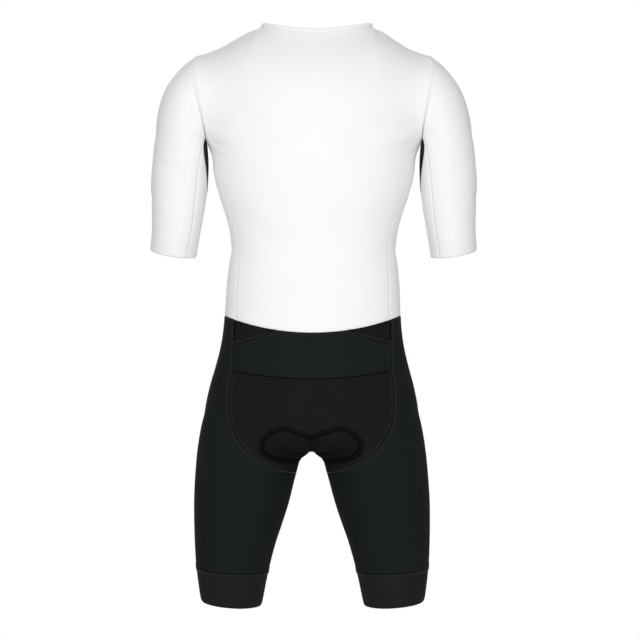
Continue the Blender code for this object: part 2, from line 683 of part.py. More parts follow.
def add_zip(home, cutters):
    """Tape behind the front opening, slider and hinged pull."""
    here = zip_point(SLIDER_Z)
    up = zip_point(SLIDER_Z + 0.004) - zip_point(SLIDER_Z - 0.004)
    slope = math.atan2(up[1], up[2])
    out = np.array((0.0, -math.cos(slope), math.sin(slope)))
    shift = np.array((smooth(LEAN, SLIDER_Z)[0], 0.0, 0.0))

    width, length, thick = SLIDER_SIZE
    ear_low = -thick / 2
    ear_high = PIN_LIFT - LIFT - thick / 2 + 0.0012

    def plate(bm):
        low = [bm.verts.new((x, y, z)) for x, z in ((-width / 2, length / 2), (width / 2, length / 2),
                                                    (width * 0.36, -length / 2), (-width * 0.36, -length / 2))
               for y in (-thick / 2, thick / 2)]
        bmesh.ops.convex_hull(bm, input=low)

    def ears(bm):
        for side in (-1, 1):
            near, far = sorted((side * (PULL_WIDTH / 2 + 0.0004), side * (PULL_WIDTH / 2 + 0.0014)))
            block(bm, (near, -ear_high, -0.0012), (far, -ear_low, 0.0030))

    slider = solid("zip_slider", plate, home)
    slider.location = here + shift + out * (LIFT + thick / 2)
    slider.rotation_euler = (-slope, 0, 0)
    ear_tool = solid("slider_ears", ears, cutters)
    combine(slider, ear_tool, 'UNION')
    pin_tool = solid("slider_pin", lambda bm: cylinder(bm, PIN_RADIUS, PULL_WIDTH / 2 + 0.0010), cutters)
    pin_tool.location = (0, -(PIN_LIFT - LIFT - thick / 2), 0.0014)
    combine(slider, pin_tool, 'UNION')

    along = np.array((0.0, math.sin(slope), math.cos(slope)))
    pull = solid("zip_pull", lambda bm: cylinder(bm, EYE_OUTER, PULL_WIDTH / 2), home)
    pull.location = here + shift + out * PIN_LIFT + along * 0.0014
    pull.rotation_euler = (-slope + PULL_TILT, 0, 0)
    tab = solid("pull_tab", lambda bm: block(bm, (-PULL_WIDTH / 2, -PULL_WALL / 2, -PULL_LENGTH),
                                             (PULL_WIDTH / 2, PULL_WALL / 2, -EYE_INNER)), cutters)
    combine(pull, tab, 'UNION')
    hole = solid("pull_eye", lambda bm: cylinder(bm, EYE_INNER, PULL_WIDTH), cutters)
    combine(pull, hole, 'DIFFERENCE')


def main():
    """Build the suit."""
    for item in list(bpy.data.objects):
        bpy.data.objects.remove(item)
    home = bpy.data.collections.new("triathlon_suit")
    cutters = bpy.data.collections.new("cutters")
    bpy.context.scene.collection.children.link(home)
    bpy.context.scene.collection.children.link(cutters)
    cutters.hide_render = True
    add_upper(home)
    add_sleeves(home)
    add_seat(home)
    add_legs(home)
    add_pocket(home)
    add_zip(home, cutters)


main()
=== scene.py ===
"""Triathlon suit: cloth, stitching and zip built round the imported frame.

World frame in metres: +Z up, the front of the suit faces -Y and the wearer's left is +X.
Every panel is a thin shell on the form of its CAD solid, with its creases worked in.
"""
import json
import logging
import math
from dataclasses import dataclass
from enum import Enum
from typing import Callable, Sequence

import bpy
import numpy as np
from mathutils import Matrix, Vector

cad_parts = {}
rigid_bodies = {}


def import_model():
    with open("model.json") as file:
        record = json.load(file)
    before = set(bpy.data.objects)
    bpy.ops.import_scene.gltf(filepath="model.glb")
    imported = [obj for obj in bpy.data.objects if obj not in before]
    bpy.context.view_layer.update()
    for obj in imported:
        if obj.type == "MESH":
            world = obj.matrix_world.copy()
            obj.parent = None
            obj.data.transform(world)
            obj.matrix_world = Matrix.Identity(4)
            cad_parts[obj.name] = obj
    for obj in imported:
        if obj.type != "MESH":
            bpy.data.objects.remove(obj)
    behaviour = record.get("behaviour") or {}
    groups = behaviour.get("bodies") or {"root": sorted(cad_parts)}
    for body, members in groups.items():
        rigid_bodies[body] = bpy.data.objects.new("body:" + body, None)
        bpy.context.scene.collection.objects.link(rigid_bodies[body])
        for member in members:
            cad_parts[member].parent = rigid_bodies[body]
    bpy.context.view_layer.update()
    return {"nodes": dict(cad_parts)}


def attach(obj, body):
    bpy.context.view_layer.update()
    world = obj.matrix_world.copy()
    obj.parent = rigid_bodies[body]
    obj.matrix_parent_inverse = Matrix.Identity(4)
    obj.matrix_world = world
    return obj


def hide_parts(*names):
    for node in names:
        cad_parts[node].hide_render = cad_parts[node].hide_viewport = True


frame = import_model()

LOG = logging.getLogger("suit")
Array = np.ndarray


# ---------------------------------------------------------------- form

class Curve:
    """Smooth curve through the rows of a table whose first column is the station."""

    def __init__(self, *rows: Sequence[float]) -> None:
        """Keep the rows in rising order.

        Args:
            rows: station and values of each point.
        """
        data = np.array(rows, float)
        if data[0, 0] > data[-1, 0]:
            data = data[::-1]
        self.keys = data[:, 0]
        self.values = data[:, 1:]
        self.slopes = np.gradient(self.values, self.keys, axis=0)

    def __call__(self, station: Array | float) -> Array:
        """Values at some stations.

        Args:
            station: one station or an array of them.

        Returns:
            An array with one more axis than the stations, or their shape where the table has one value column.
        """
        at = np.clip(np.asarray(station, float), self.keys[0], self.keys[-1])
        i = np.clip(np.searchsorted(self.keys, at, side="right") - 1, 0, len(self.keys) - 2)
        step = self.keys[i + 1] - self.keys[i]
        t = ((at - self.keys[i]) / step)[..., None]
        step = step[..., None]
        start = (1 + 2 * t) * (1 - t) ** 2 * self.values[i] + t * (1 - t) ** 2 * step * self.slopes[i]
        end = t * t * (3 - 2 * t) * self.values[i + 1] - t * t * (1 - t) * step * self.slopes[i + 1]
        out = start + end
        return out[..., 0] if out.shape[-1] == 1 else out


def ease(t: Array | float) -> Array:
    """0 to 1 with a level start and end."""
    return (1 - np.cos(np.pi * np.clip(t, 0, 1))) / 2


def point(x: Array | float, y: Array | float, z: Array | float) -> Array:
    """Points from three coordinates of any matching shapes."""
    return np.stack(np.broadcast_arrays(np.asarray(x, float), y, z), axis=-1)


@dataclass
class Form:
    """The wearer's form that every panel lies on; sizes as in the CAD, in metres."""

    roundness: float = 2.3
    pit_z: float = -0.1900
    pit_angle: float = math.radians(88)
    hip_z: float = -0.6000
    thigh_z: float = -0.7000
    cuff_z: float = -0.8700
    hem_z: float = -0.9255
    neck_half: float = 0.0885
    neck_back: float = 0.0560
    neck_front: float = 0.0790
    neck_side_z: float = -0.0055
    neck_back_dip: float = 0.0153
    neck_front_dip: float = 0.0745
    arm_top_z: float = -0.0515
    arm_depth: float = 0.0600
    waist_back_z: float = -0.4930
    waist_rise: float = 0.0265
    pocket_z: float = -0.5640
    pocket_rise: float = 0.0115
    pocket_half: float = 0.1235
    mouth_inner: float = 0.0570
    mouth_drop: float = 0.0330
    mouth_band: float = 0.0060
    zip_half: float = 0.0030
    rise_end: float = 0.78
    seat_tip: float = -0.7180
    seat_front_z: float = -0.6250
    hem_tilt: float = 0.0034

    def __post_init__(self) -> None:
        """Set up the tables of sections and seams."""
        self.trunk_rows = Curve(
            (-0.1900, 0.1710, 0.1040, 0.0980), (-0.2130, 0.1628, 0.1030, 0.0980),
            (-0.2420, 0.1598, 0.1020, 0.0975), (-0.2740, 0.1520, 0.0995, 0.0950),
            (-0.3060, 0.1410, 0.0960, 0.0910), (-0.3380, 0.1332, 0.0920, 0.0870),
            (-0.3600, 0.1318, 0.0900, 0.0845), (-0.3840, 0.1344, 0.0890, 0.0840),
            (-0.4160, 0.1378, 0.0900, 0.0855), (-0.4640, 0.1404, 0.0940, 0.0900),
            (-0.5120, 0.1458, 0.1000, 0.0940), (-0.5440, 0.1532, 0.1060, 0.0970),
            (-0.5760, 0.1622, 0.1120, 0.0990), (-0.6160, 0.1710, 0.1180, 0.1000))
        self.centre_back = Curve((-0.19, 0.1040), (-0.14, 0.1075), (-0.09, 0.1010), (-0.05, 0.0820),
                                 (-0.0208, 0.0560))
        self.centre_front = Curve((-0.19, 0.0980), (-0.15, 0.0965), (-0.115, 0.0905), (-0.08, 0.0790))
        self.shoulder = Curve((0.0885, -0.0055), (0.1080, -0.0130), (0.1300, -0.0262), (0.1500, -0.0380),
                              (0.1660, -0.0448), (0.1855, -0.0515))
        self.armhole_x = Curve((-0.1900, 0.1710), (-0.1660, 0.1735), (-0.1390, 0.1785), (-0.1100, 0.1840),
                               (-0.0880, 0.1885), (-0.0700, 0.1900), (-0.0515, 0.1855))
        self.sleeve_rows = Curve(
            (0.00, 0.1855, -0.0515, 0.1710, -0.1900, 0.0000, 0.0600, 0.0000),
            (0.10, 0.2060, -0.0670, 0.1707, -0.1925, 0.0000, 0.0605, 0.0000),
            (0.20, 0.2255, -0.0890, 0.1702, -0.1965, 0.0000, 0.0605, 0.0000),
            (0.30, 0.2395, -0.1130, 0.1698, -0.2030, -0.0010, 0.0590, 0.0000),
            (0.40, 0.2490, -0.1440, 0.1692, -0.2140, -0.0030, 0.0570, 0.0005),
            (0.50, 0.2550, -0.1830, 0.1690, -0.2300, -0.0060, 0.0540, 0.0010),
            (0.60, 0.2590, -0.2190, 0.1700, -0.2500, -0.0100, 0.0515, 0.0020),
            (0.70, 0.2620, -0.2550, 0.1722, -0.2770, -0.0150, 0.0490, 0.0035),
            (0.80, 0.2612, -0.2900, 0.1775, -0.3060, -0.0200, 0.0470, 0.0050),
            (0.90, 0.2610, -0.3250, 0.1840, -0.3400, -0.0260, 0.0445, 0.0060),
            (1.00, 0.2640, -0.3600, 0.1895, -0.3720, -0.0320, 0.0420, 0.0070))
        self.undersleeve = Curve((0.00, 151.6), (0.20, 149), (0.40, 141), (0.50, 136), (0.70, 131), (0.85, 133),
                                 (1.00, 132))
        # Edge of the dark underarm wedge of painted shade, in degrees round the sleeve.
        self.wedge = Curve((0.00, 157), (0.20, 151), (0.35, 148), (0.50, 157), (0.60, 168), (0.68, 180))
        self.leg_rows = Curve(
            (-0.7000, 0.0195, 0.1842, 0.0040, 0.0950), (-0.7300, 0.0280, 0.1866, 0.0040, 0.0905),
            (-0.7620, 0.0362, 0.1882, 0.0030, 0.0860), (-0.7940, 0.0464, 0.1884, 0.0020, 0.0815),
            (-0.8260, 0.0574, 0.1878, 0.0010, 0.0765), (-0.8580, 0.0664, 0.1864, 0.0000, 0.0720),
            (-0.8900, 0.0736, 0.1832, -0.0010, 0.0680), (-0.9255, 0.0806, 0.1784, -0.0020, 0.0650))
        crotch = ((0.78, 0.0, 0.0020, -0.6808), (0.86, 0.0064, 0.0020, -0.6858),
                  (0.93, 0.0140, 0.0030, -0.6925), (1.00, 0.0195, 0.0040, -0.7000))
        self.rise_crotch = Curve(*crotch)
        self.rise_back = Curve(
            (0.00, 0.0, 0.1160, -0.6000), (0.20, 0.0, 0.1155, -0.6260), (0.40, 0.0, 0.1030, -0.6520),
            (0.55, 0.0, 0.0770, -0.6700), (0.68, 0.0, 0.0360, -0.6795), *crotch)
        self.rise_front = Curve(
            (0.00, 0.0, -0.0998, -0.6000), (0.20, 0.0, -0.0975, -0.6230), (0.40, 0.0, -0.0860, -0.6480),
            (0.55, 0.0, -0.0640, -0.6670), (0.68, 0.0, -0.0310, -0.6785), *crotch)
        self.side_back = Curve((-0.1900, 88.0), (-0.2130, 81.0), (-0.2420, 71.5), (-0.2960, 67.5), (-0.3600, 62.5),
                               (-0.3740, 61.5), (-0.4150, 60.5), (-0.4950, 59.0))
        self.lean_rows = Curve((0.0000, -0.0050), (-0.0250, -0.0010), (-0.0600, 0.0010), (-0.2000, 0.0000),
                               (-0.3600, 0.0008), (-0.5000, 0.0025), (-0.6600, 0.0040), (-0.8000, 0.0030),
                               (-0.9255, 0.0020))
        seat = ((0.1235, -0.5525), (0.1272, -0.5720), (0.1280, -0.5910), (0.1275, -0.6155), (0.1210, -0.6450),
                (0.1070, -0.6680), (0.0880, -0.6880), (0.0630, -0.7025), (0.0420, -0.7105), (0.0290, -0.7150))
        pad = ((0.0377, -0.6400), (0.0600, -0.6485), (0.0740, -0.6590), (0.0780, -0.6700), (0.0680, -0.6830),
               (0.0440, -0.6925), (0.0270, -0.6960))
        self.seat_seam = Curve(*[self.find(x, z) for x, z in seat], (self.seat_tip, math.pi))
        self.pad_edge = Curve(*[self.find(x, z) for x, z in pad], (-0.6990, math.pi))

    def trunk(self, z: Array | float, angle: Array | float) -> Array:
        """Points of the trunk.

        Args:
            z: heights.
            angle: angles from the centre back towards the left side, in radians.

        Returns:
            Points, as an array ending in 3.
        """
        z, angle = np.broadcast_arrays(np.asarray(z, float), np.asarray(angle, float))
        rows = self.trunk_rows(z)
        across = np.sin(angle)
        depth = np.where(np.cos(angle) >= -1e-9, rows[..., 1], -rows[..., 2])
        flat = np.maximum(0.0, 1 - np.abs(across) ** self.roundness) ** (1 / self.roundness)
        return point(rows[..., 0] * across, depth * flat, z)

    def armhole(self, turn: Array | float) -> Array:
        """Points of the left armhole seam: turn 0 at the shoulder, a quarter turn at the back.

        Args:
            turn: turn round the armhole, in radians.

        Returns:
            Points, as an array ending in 3.
        """
        middle = (self.arm_top_z + self.pit_z) / 2
        half = (self.arm_top_z - self.pit_z) / 2
        z = middle + half * np.cos(turn)
        return point(self.armhole_x(z), self.arm_depth * np.sin(turn), z)

    @property
    def pit_turn(self) -> float:
        """Turn of the armhole at which the back meets the side panel."""
        return math.pi - math.asin(float(self.trunk(self.pit_z, self.pit_angle)[1]) / self.arm_depth)

    def neckline(self, turn: Array | float, rise: Array | float = 0.0) -> Array:
        """Points of the neck seam, or of the band above it.

        Args:
            turn: 0 at the centre back, a quarter turn at the left neck point.
            rise: height above the seam.

        Returns:
            Points, as an array ending in 3.
        """
        across, along = np.sin(turn), np.cos(turn)
        back = along >= 0
        depth = np.where(back, self.neck_back, self.neck_front)
        dip = np.where(back, self.neck_back_dip, self.neck_front_dip)
        lean_in = 0.3 * np.asarray(rise)
        return point((self.neck_half - lean_in) * across, (depth - lean_in) * along,
                     self.neck_side_z - dip * along ** 2 + rise)

    def yoke(self, u: Array, t: Array, side: int) -> Array:
        """Points of the trunk above the underarm.

        Args:
            u: 0 at the centre, 1 at the armhole.
            t: 0 underarm, 1 at the shoulder.
            side: 1 for the back, -1 for the front.

        Returns:
            Points, as an array ending in 3.
        """
        u, t = np.broadcast_arrays(np.asarray(u, float), np.asarray(t, float))
        table = self.centre_back if side > 0 else self.centre_front
        crest_z, crest_y, base_y = table.keys[-1], table.values[-1, 0], table.values[0, 0]
        angle = self.pit_angle * u if side > 0 else math.pi - self.pit_angle * u
        low = self.trunk(self.pit_z, angle)
        neck = self.neckline(np.pi * u if side > 0 else np.pi - np.pi * u)
        reach = self.shoulder.keys[-1]
        x_top = self.neck_half + (reach - self.neck_half) * np.clip(2 * u - 1, 0, 1)
        top = np.where((u <= 0.5)[..., None], neck, point(x_top, 0.0, self.shoulder(x_top)))
        seam = self.armhole(self.pit_turn * (1 - t))
        g, h = ease(u), ease(t)
        corner = self.armhole(self.pit_turn)
        x = (1 - h) * low[..., 0] + h * top[..., 0] + g * (seam[..., 0] - (1 - h) * corner[0] - h * reach)
        z = self.pit_z + h * (top[..., 2] - self.pit_z)
        z = z + g * (seam[..., 2] - self.pit_z - h * (self.arm_top_z - self.pit_z))
        centre = table(self.pit_z + h * (crest_z - self.pit_z))
        full = np.abs(low[..., 1]) / base_y
        close = np.abs(top[..., 1]) / np.maximum(full * crest_y, 1e-6)
        roll = 1 - (1 - close) * t ** 4
        edge = abs(float(self.trunk(self.pit_z, self.pit_angle)[1])) / base_y * centre * (1 - t ** 4)
        return point(x, side * (full * centre * roll + u ** 4 * (seam[..., 1] - edge)), z)

    def sleeve(self, s: Array | float, turn: Array | float) -> Array:
        """Points of the left sleeve: station 0 at the armhole, 1 at the hem; turn as in the armhole.

        Args:
            s: stations along the sleeve.
            turn: turns round it, in radians.

        Returns:
            Points, as an array ending in 3.
        """
        s, turn = np.broadcast_arrays(np.asarray(s, float), np.asarray(turn, float))
        ox, oz, ix, iz, mid, depth, drop = np.moveaxis(self.sleeve_rows(s), -1, 0)
        across = np.cos(turn)
        out = point((ox + ix) / 2 + (ox - ix) / 2 * across, mid + depth * np.sin(turn),
                    (oz + iz) / 2 + (oz - iz) / 2 * across - drop * np.sin(turn))
        first = self.sleeve_rows.values[0]
        flat = (first[0] + first[2]) / 2 + (first[0] - first[2]) / 2 * across
        near = np.clip(1 - s / 0.2, 0, 1) ** 2
        out[..., 0] += (self.armhole(turn)[..., 0] - flat) * near
        return out

    def leg(self, z: Array | float, turn: Array | float) -> Array:
        """Points of the left leg: turn 0 outside, a quarter turn at the back, half a turn inside."""
        inner, outer, mid, depth = np.moveaxis(self.leg_rows(z), -1, 0)
        return point((inner + outer) / 2 + (outer - inner) / 2 * np.cos(turn), mid + depth * np.sin(turn), z)

    def path(self, t: Array, turn: Array) -> Array:
        """Path from the hips to the top of the leg before the rise is worked in.

        Args:
            t: 0 at the hips, 1 at the top of the leg.
            turn: turns round the leg, in radians.

        Returns:
            Points, as an array ending in 3.
        """
        span, step = self.hip_z - self.thigh_z, 0.002
        angle = math.pi / 2 - turn / 2
        start, end = self.trunk(self.hip_z, angle), self.leg(self.thigh_z, turn)
        leave = (self.trunk(self.hip_z - step, angle) - start) * span / step
        arrive = (self.leg(self.thigh_z - step, turn) - end) * span / step
        t = np.asarray(t, float)[..., None]
        return ((1 + 2 * t) * (1 - t) ** 2 * start + t * (1 - t) ** 2 * leave
                + t * t * (3 - 2 * t) * end - t * t * (1 - t) * arrive)

    def rise(self, t: Array, back: Array) -> Array:
        """Centre line from the hips under the crotch to the inside of a leg.

        Args:
            t: 0 at the hips, 1 at the top of the leg.
            back: whether the line is the one at the back.

        Returns:
            Points, as an array ending in 3.
        """
        line = np.where(back[..., None], self.rise_back(t), self.rise_front(t))
        line = np.where((t < self.rise_end)[..., None], line * (0, 1, 1), self.rise_crotch(t))
        return line

    def hips(self, t: Array, turn: Array) -> Array:
        """Points between the hips and the leg, where the loop hangs from the rise on the inside.

        Args:
            t: 0 at the hips, 1 at the top of the leg.
            turn: turns round the leg, in radians.

        Returns:
            Points, as an array ending in 3.
        """
        out = self.path(t, turn)
        reach = np.clip((np.abs(turn) - math.radians(95)) / math.radians(85), 0, 1)
        share = (reach ** 2 * (3 - 2 * reach))[..., None]
        edge = np.copysign(math.pi, turn)
        out = out + (self.rise(t, turn > 0) - self.path(t, edge)) * share
        out[..., 0] = np.maximum(out[..., 0], 0.0)
        return out

    def lower(self, v: Array | float, turn: Array | float) -> Array:
        """Points of the left half below the waist.

        Args:
            v: heights at the side.
            turn: turn round the leg, 0 outside, positive at the back.

        Returns:
            Points, as an array ending in 3.
        """
        v, turn = np.broadcast_arrays(np.asarray(v, float), np.asarray(turn, float))
        v = v + self.hem_tilt * np.cos(turn) * ease((self.seat_tip - v) / 0.13)
        high = self.trunk(v, math.pi / 2 - turn / 2)
        low = self.leg(v, turn)
        t = np.clip((self.hip_z - v) / (self.hip_z - self.thigh_z), 0, 1)
        out = np.where((v >= self.hip_z)[..., None], high, self.hips(t, turn))
        return np.where((v <= self.thigh_z)[..., None], low, out)

    def find(self, x: float, z: float) -> tuple[float, float]:
        """Height at the side and turn of the point of the back that shows at x and z.

        Args:
            x: how far left of the middle it shows.
            z: height at which it shows.

        Returns:
            The height at the side and the turn.
        """
        v, turn, reach_v, reach_turn = z, math.radians(110), 0.06, math.radians(70)
        offsets = np.arange(-3, 4) / 3
        for _ in range(16):
            tries_v, tries_turn = np.meshgrid(v + offsets * reach_v,
                                              np.clip(turn + offsets * reach_turn, 0, math.pi))
            found = self.lower(tries_v, tries_turn)
            miss = np.hypot(found[..., 0] - x, found[..., 2] - z)
            best = np.unravel_index(int(np.argmin(miss)), miss.shape)
            v, turn = float(tries_v[best]), float(tries_turn[best])
            reach_v, reach_turn = reach_v * 0.6, reach_turn * 0.6
        return v, turn

    def waist(self, across: Array | float) -> Array:
        """Height of the waist seam from the sine of the angle round the trunk."""
        return self.waist_back_z + self.waist_rise * np.asarray(across) ** 2

    def waist_at(self, x: Array | float) -> Array:
        """Height of the waist seam at x, on the back."""
        return self.waist(np.asarray(x) / self.trunk_rows(self.waist_back_z)[0])

    def pocket_floor(self, x: Array | float) -> Array:
        """Height of the lower pocket seam at x."""
        return self.pocket_z + self.pocket_rise * (np.asarray(x) / self.pocket_half) ** 2

    def mouth(self, x: Array | float) -> tuple[Array, Array]:
        """Top edge of the pocket at x, and the width of its bound edge there.

        Args:
            x: how far from the middle.

        Returns:
            Heights and widths.
        """
        x = np.abs(np.asarray(x, float))
        part = np.clip((x - self.mouth_inner) / (self.pocket_half - self.mouth_inner), 0, 1)
        inner, outer = self.waist_at(self.mouth_inner), self.waist_at(self.pocket_half) - self.mouth_drop
        top = np.where(x <= self.mouth_inner, self.waist_at(x), inner + (outer - inner) * part)
        return top, self.mouth_band * ease(part * 3)

    def at_x(self, x: Array, z: Array) -> Array:
        """Points of the back of the trunk at x and height z."""
        return self.trunk(z, np.arcsin(np.clip(x / self.trunk_rows(z)[..., 0], -1, 1)))

    def front_turn(self, v: Array | float) -> Array:
        """Turn of the front edge of the seat."""
        part = np.clip((self.seat_front_z - np.asarray(v, float)) / (self.seat_front_z - self.seat_tip), 0, 1)
        return math.pi - math.radians(34) * np.sin(math.pi * part) ** 0.8

    def side_seam(self, r: Array, front: bool = False) -> Array:
        """Angle of a side seam, from the waist (0) to the underarm (1).

        Args:
            r: shares of the way up.
            front: whether the seam is the one at the front.

        Returns:
            Angles in radians.
        """
        r = np.asarray(r, float)
        z = np.full_like(r, self.pit_z)
        for _ in range(5):
            angle = np.radians(self.side_back(z))
            low = self.waist(np.sin(angle))
            z = low + (self.pit_z - low) * r
        return math.pi - angle if front else angle

    def wrap(self, r: Array, angle: Array) -> Array:
        """Points of the upper trunk, part r of the way from the waist to the underarm."""
        low = self.waist(np.sin(angle))
        return self.trunk(low + (self.pit_z - low) * r, angle)

    def lean(self, points: Array) -> Array:
        """Points with the sideways lean of the hanging suit.

        Args:
            points: points of the upright form.

        Returns:
            The points, moved sideways.
        """
        out = points.copy()
        out[..., 0] += self.lean_rows(points[..., 2])
        return out


# ---------------------------------------------------------------- folds

class Facing(Enum):
    """The way a fold looks: the axis it is seen along and the sign of that side."""

    BACK = (1, 1)
    FRONT = (1, -1)
    LEFT = (0, 1)
    RIGHT = (0, -1)


@dataclass(frozen=True)
class Fold:
    """A soft trough (negative height) or ridge in the cloth, along a slightly bent line."""

    facing: Facing
    start: tuple[float, float]
    end: tuple[float, float]
    width: float
    height: float
    bend: float = 0.0

    def lift(self, points: Array, normals: Array) -> Array:
        """Height of this fold at some points.

        Args:
            points: points on the form.
            normals: outward normals there.

        Returns:
            Distances along the normals.
        """
        axis, sign = self.facing.value
        a = points[..., 1 - axis]
        z = points[..., 2]
        line = np.array(self.end) - self.start
        length = float(np.hypot(*line))
        line = line / length
        da, dz = a - self.start[0], z - self.start[1]
        along = (da * line[0] + dz * line[1]) / length
        off = -da * line[1] + dz * line[0] - self.bend * 4 * along * (1 - along)
        width = self.width * (0.75 + 0.5 * np.clip(along, 0, 1))
        fade = np.clip(along * 3.2, 0, 1) * np.clip((1 - along) * 2.2, 0, 1)
        fade = fade * fade * (3 - 2 * fade)
        seen = np.clip(normals[..., axis] * sign * 2.2, 0, 1)
        return self.height * np.exp(-(off / width) ** 2) * fade * seen


def both_sides(*folds: Fold) -> tuple[Fold, ...]:
    """Folds with their mirror images, which are a little different.

    Args:
        folds: folds on the left, or as seen from it.

    Returns:
        The folds of both sides.
    """
    out: list[Fold] = []
    for i, fold in enumerate(folds):
        out.append(fold)
        swap = {Facing.LEFT: Facing.RIGHT, Facing.RIGHT: Facing.LEFT}
        facing = swap.get(fold.facing, fold.facing)
        sign = 1 if facing in swap else -1
        shift = 0.004 * math.sin(2.3 * i + 1)
        out.append(Fold(facing, (sign * fold.start[0], fold.start[1] + shift),
                        (sign * fold.end[0], fold.end[1] - shift * 0.7), fold.width * (1 + 14 * shift),
                        fold.height * (1 - 18 * abs(shift)), (-1 if sign < 0 else 1) * fold.bend))
    return tuple(out)


FOLDS = both_sides(
    # underarm, back: short pulls fanning out from the armhole
    Fold(Facing.BACK, (0.172, -0.186), (0.128, -0.206), 0.0050, -0.0019, 0.002),
    Fold(Facing.BACK, (0.168, -0.200), (0.136, -0.222), 0.0045, -0.0012, 0.001),
    Fold(Facing.BACK, (0.176, -0.172), (0.122, -0.184), 0.0060, 0.0013, 0.002),
    Fold(Facing.BACK, (0.176, -0.160), (0.132, -0.166), 0.0050, -0.0009, 0.001),
    Fold(Facing.BACK, (0.178, -0.150), (0.206, -0.176), 0.0048, -0.0014, -0.001),
    Fold(Facing.BACK, (0.178, -0.138), (0.212, -0.158), 0.0050, -0.0009, 0.001),
    Fold(Facing.BACK, (0.181, -0.176), (0.200, -0.214), 0.0050, -0.0012, 0.001),
    # long shallow pulls over the back
    Fold(Facing.BACK, (0.120, -0.110), (0.030, -0.250), 0.0180, -0.0010, 0.010),
    Fold(Facing.BACK, (0.126, -0.300), (0.040, -0.352), 0.0140, -0.0009, 0.006),
    Fold(Facing.BACK, (0.124, -0.352), (0.030, -0.372), 0.0100, 0.0008, 0.004),
    Fold(Facing.BACK, (0.124, -0.392), (0.050, -0.416), 0.0110, -0.0009, -0.004),
    Fold(Facing.BACK, (0.128, -0.438), (0.062, -0.470), 0.0090, -0.0007, 0.003),
    # seat and thigh
    Fold(Facing.BACK, (0.040, -0.700), (0.138, -0.690), 0.0080, -0.0012, -0.010),
    Fold(Facing.BACK, (0.046, -0.730), (0.130, -0.716), 0.0090, 0.0008, -0.006),
    Fold(Facing.BACK, (0.170, -0.780), (0.090, -0.820), 0.0120, -0.0008, 0.005),
    Fold(Facing.BACK, (0.074, -0.850), (0.150, -0.858), 0.0050, -0.0006, 0.002),
    # sleeves
    Fold(Facing.BACK, (0.250, -0.215), (0.190, -0.262), 0.0080, -0.0010, 0.004),
    Fold(Facing.BACK, (0.254, -0.268), (0.200, -0.300), 0.0070, -0.0009, 0.003),
    Fold(Facing.BACK, (0.256, -0.318), (0.198, -0.334), 0.0060, -0.0007, 0.002),
    Fold(Facing.LEFT, (0.030, -0.150), (-0.040, -0.200), 0.0100, -0.0012, 0.005),
    Fold(Facing.LEFT, (0.020, -0.260), (-0.050, -0.290), 0.0080, -0.0010, 0.004),
    # front
    Fold(Facing.FRONT, (0.170, -0.184), (0.110, -0.206), 0.0060, -0.0020, 0.003),
    Fold(Facing.FRONT, (0.166, -0.200), (0.118, -0.226), 0.0055, -0.0013, 0.002),
    Fold(Facing.FRONT, (0.150, -0.090), (0.050, -0.180), 0.0160, -0.0012, 0.010),
    Fold(Facing.FRONT, (0.124, -0.330), (0.030, -0.356), 0.0120, -0.0013, 0.006),
    Fold(Facing.FRONT, (0.126, -0.372), (0.022, -0.398), 0.0100, -0.0010, 0.004),
    Fold(Facing.FRONT, (0.130, -0.440), (0.040, -0.462), 0.0120, -0.0009, 0.004),
    Fold(Facing.FRONT, (0.030, -0.600), (0.120, -0.560), 0.0110, -0.0014, 0.008),
    Fold(Facing.FRONT, (0.034, -0.640), (0.130, -0.590), 0.0120, -0.0012, 0.008),
    Fold(Facing.FRONT, (0.170, -0.740), (0.080, -0.790), 0.0130, -0.0010, 0.006),
    Fold(Facing.LEFT, (0.050, -0.600), (-0.050, -0.640), 0.0130, -0.0010, 0.006),
    Fold(Facing.LEFT, (0.040, -0.350), (-0.040, -0.372), 0.0100, -0.0012, 0.004),
)


# ---------------------------------------------------------------- cloth

class Held(Enum):
    """How a sheet of the suit is held."""

    STRETCHED = "stretched"


def stations(length: float, step: float = 0.0042, low: bool = True, high: bool = True) -> Array:
    """Shares from 0 to 1 along a side, closer together next to a seam.

    Args:
        length: length of the side.
        step: usual distance.
        low: whether a seam lies at 0.
        high: whether a seam lies at 1.

    Returns:
        Rising shares.
    """
    near = np.array((0.0, 0.0007, 0.0014, 0.0022, 0.0032, 0.0046, 0.0066))
    near = near[near < length * 0.3] / length
    start = near if low and len(near) > 1 else np.array((0.0,))
    end = 1 - near[::-1] if high and len(near) > 1 else np.array((1.0,))
    gap = end[0] - start[-1]
    count = max(2, int(round(gap * length / step)))
    return np.concatenate((start, np.linspace(start[-1], end[0], count + 1)[1:-1], end))


def noise(along: Array, seed: int) -> Array:
    """Uneven waves of about -1 to 1 along a length in metres."""
    return sum(np.sin(along * rate + turn * seed) for rate, turn in ((830, 1.0), (517, 2.1), (1290, 0.7))) / 3


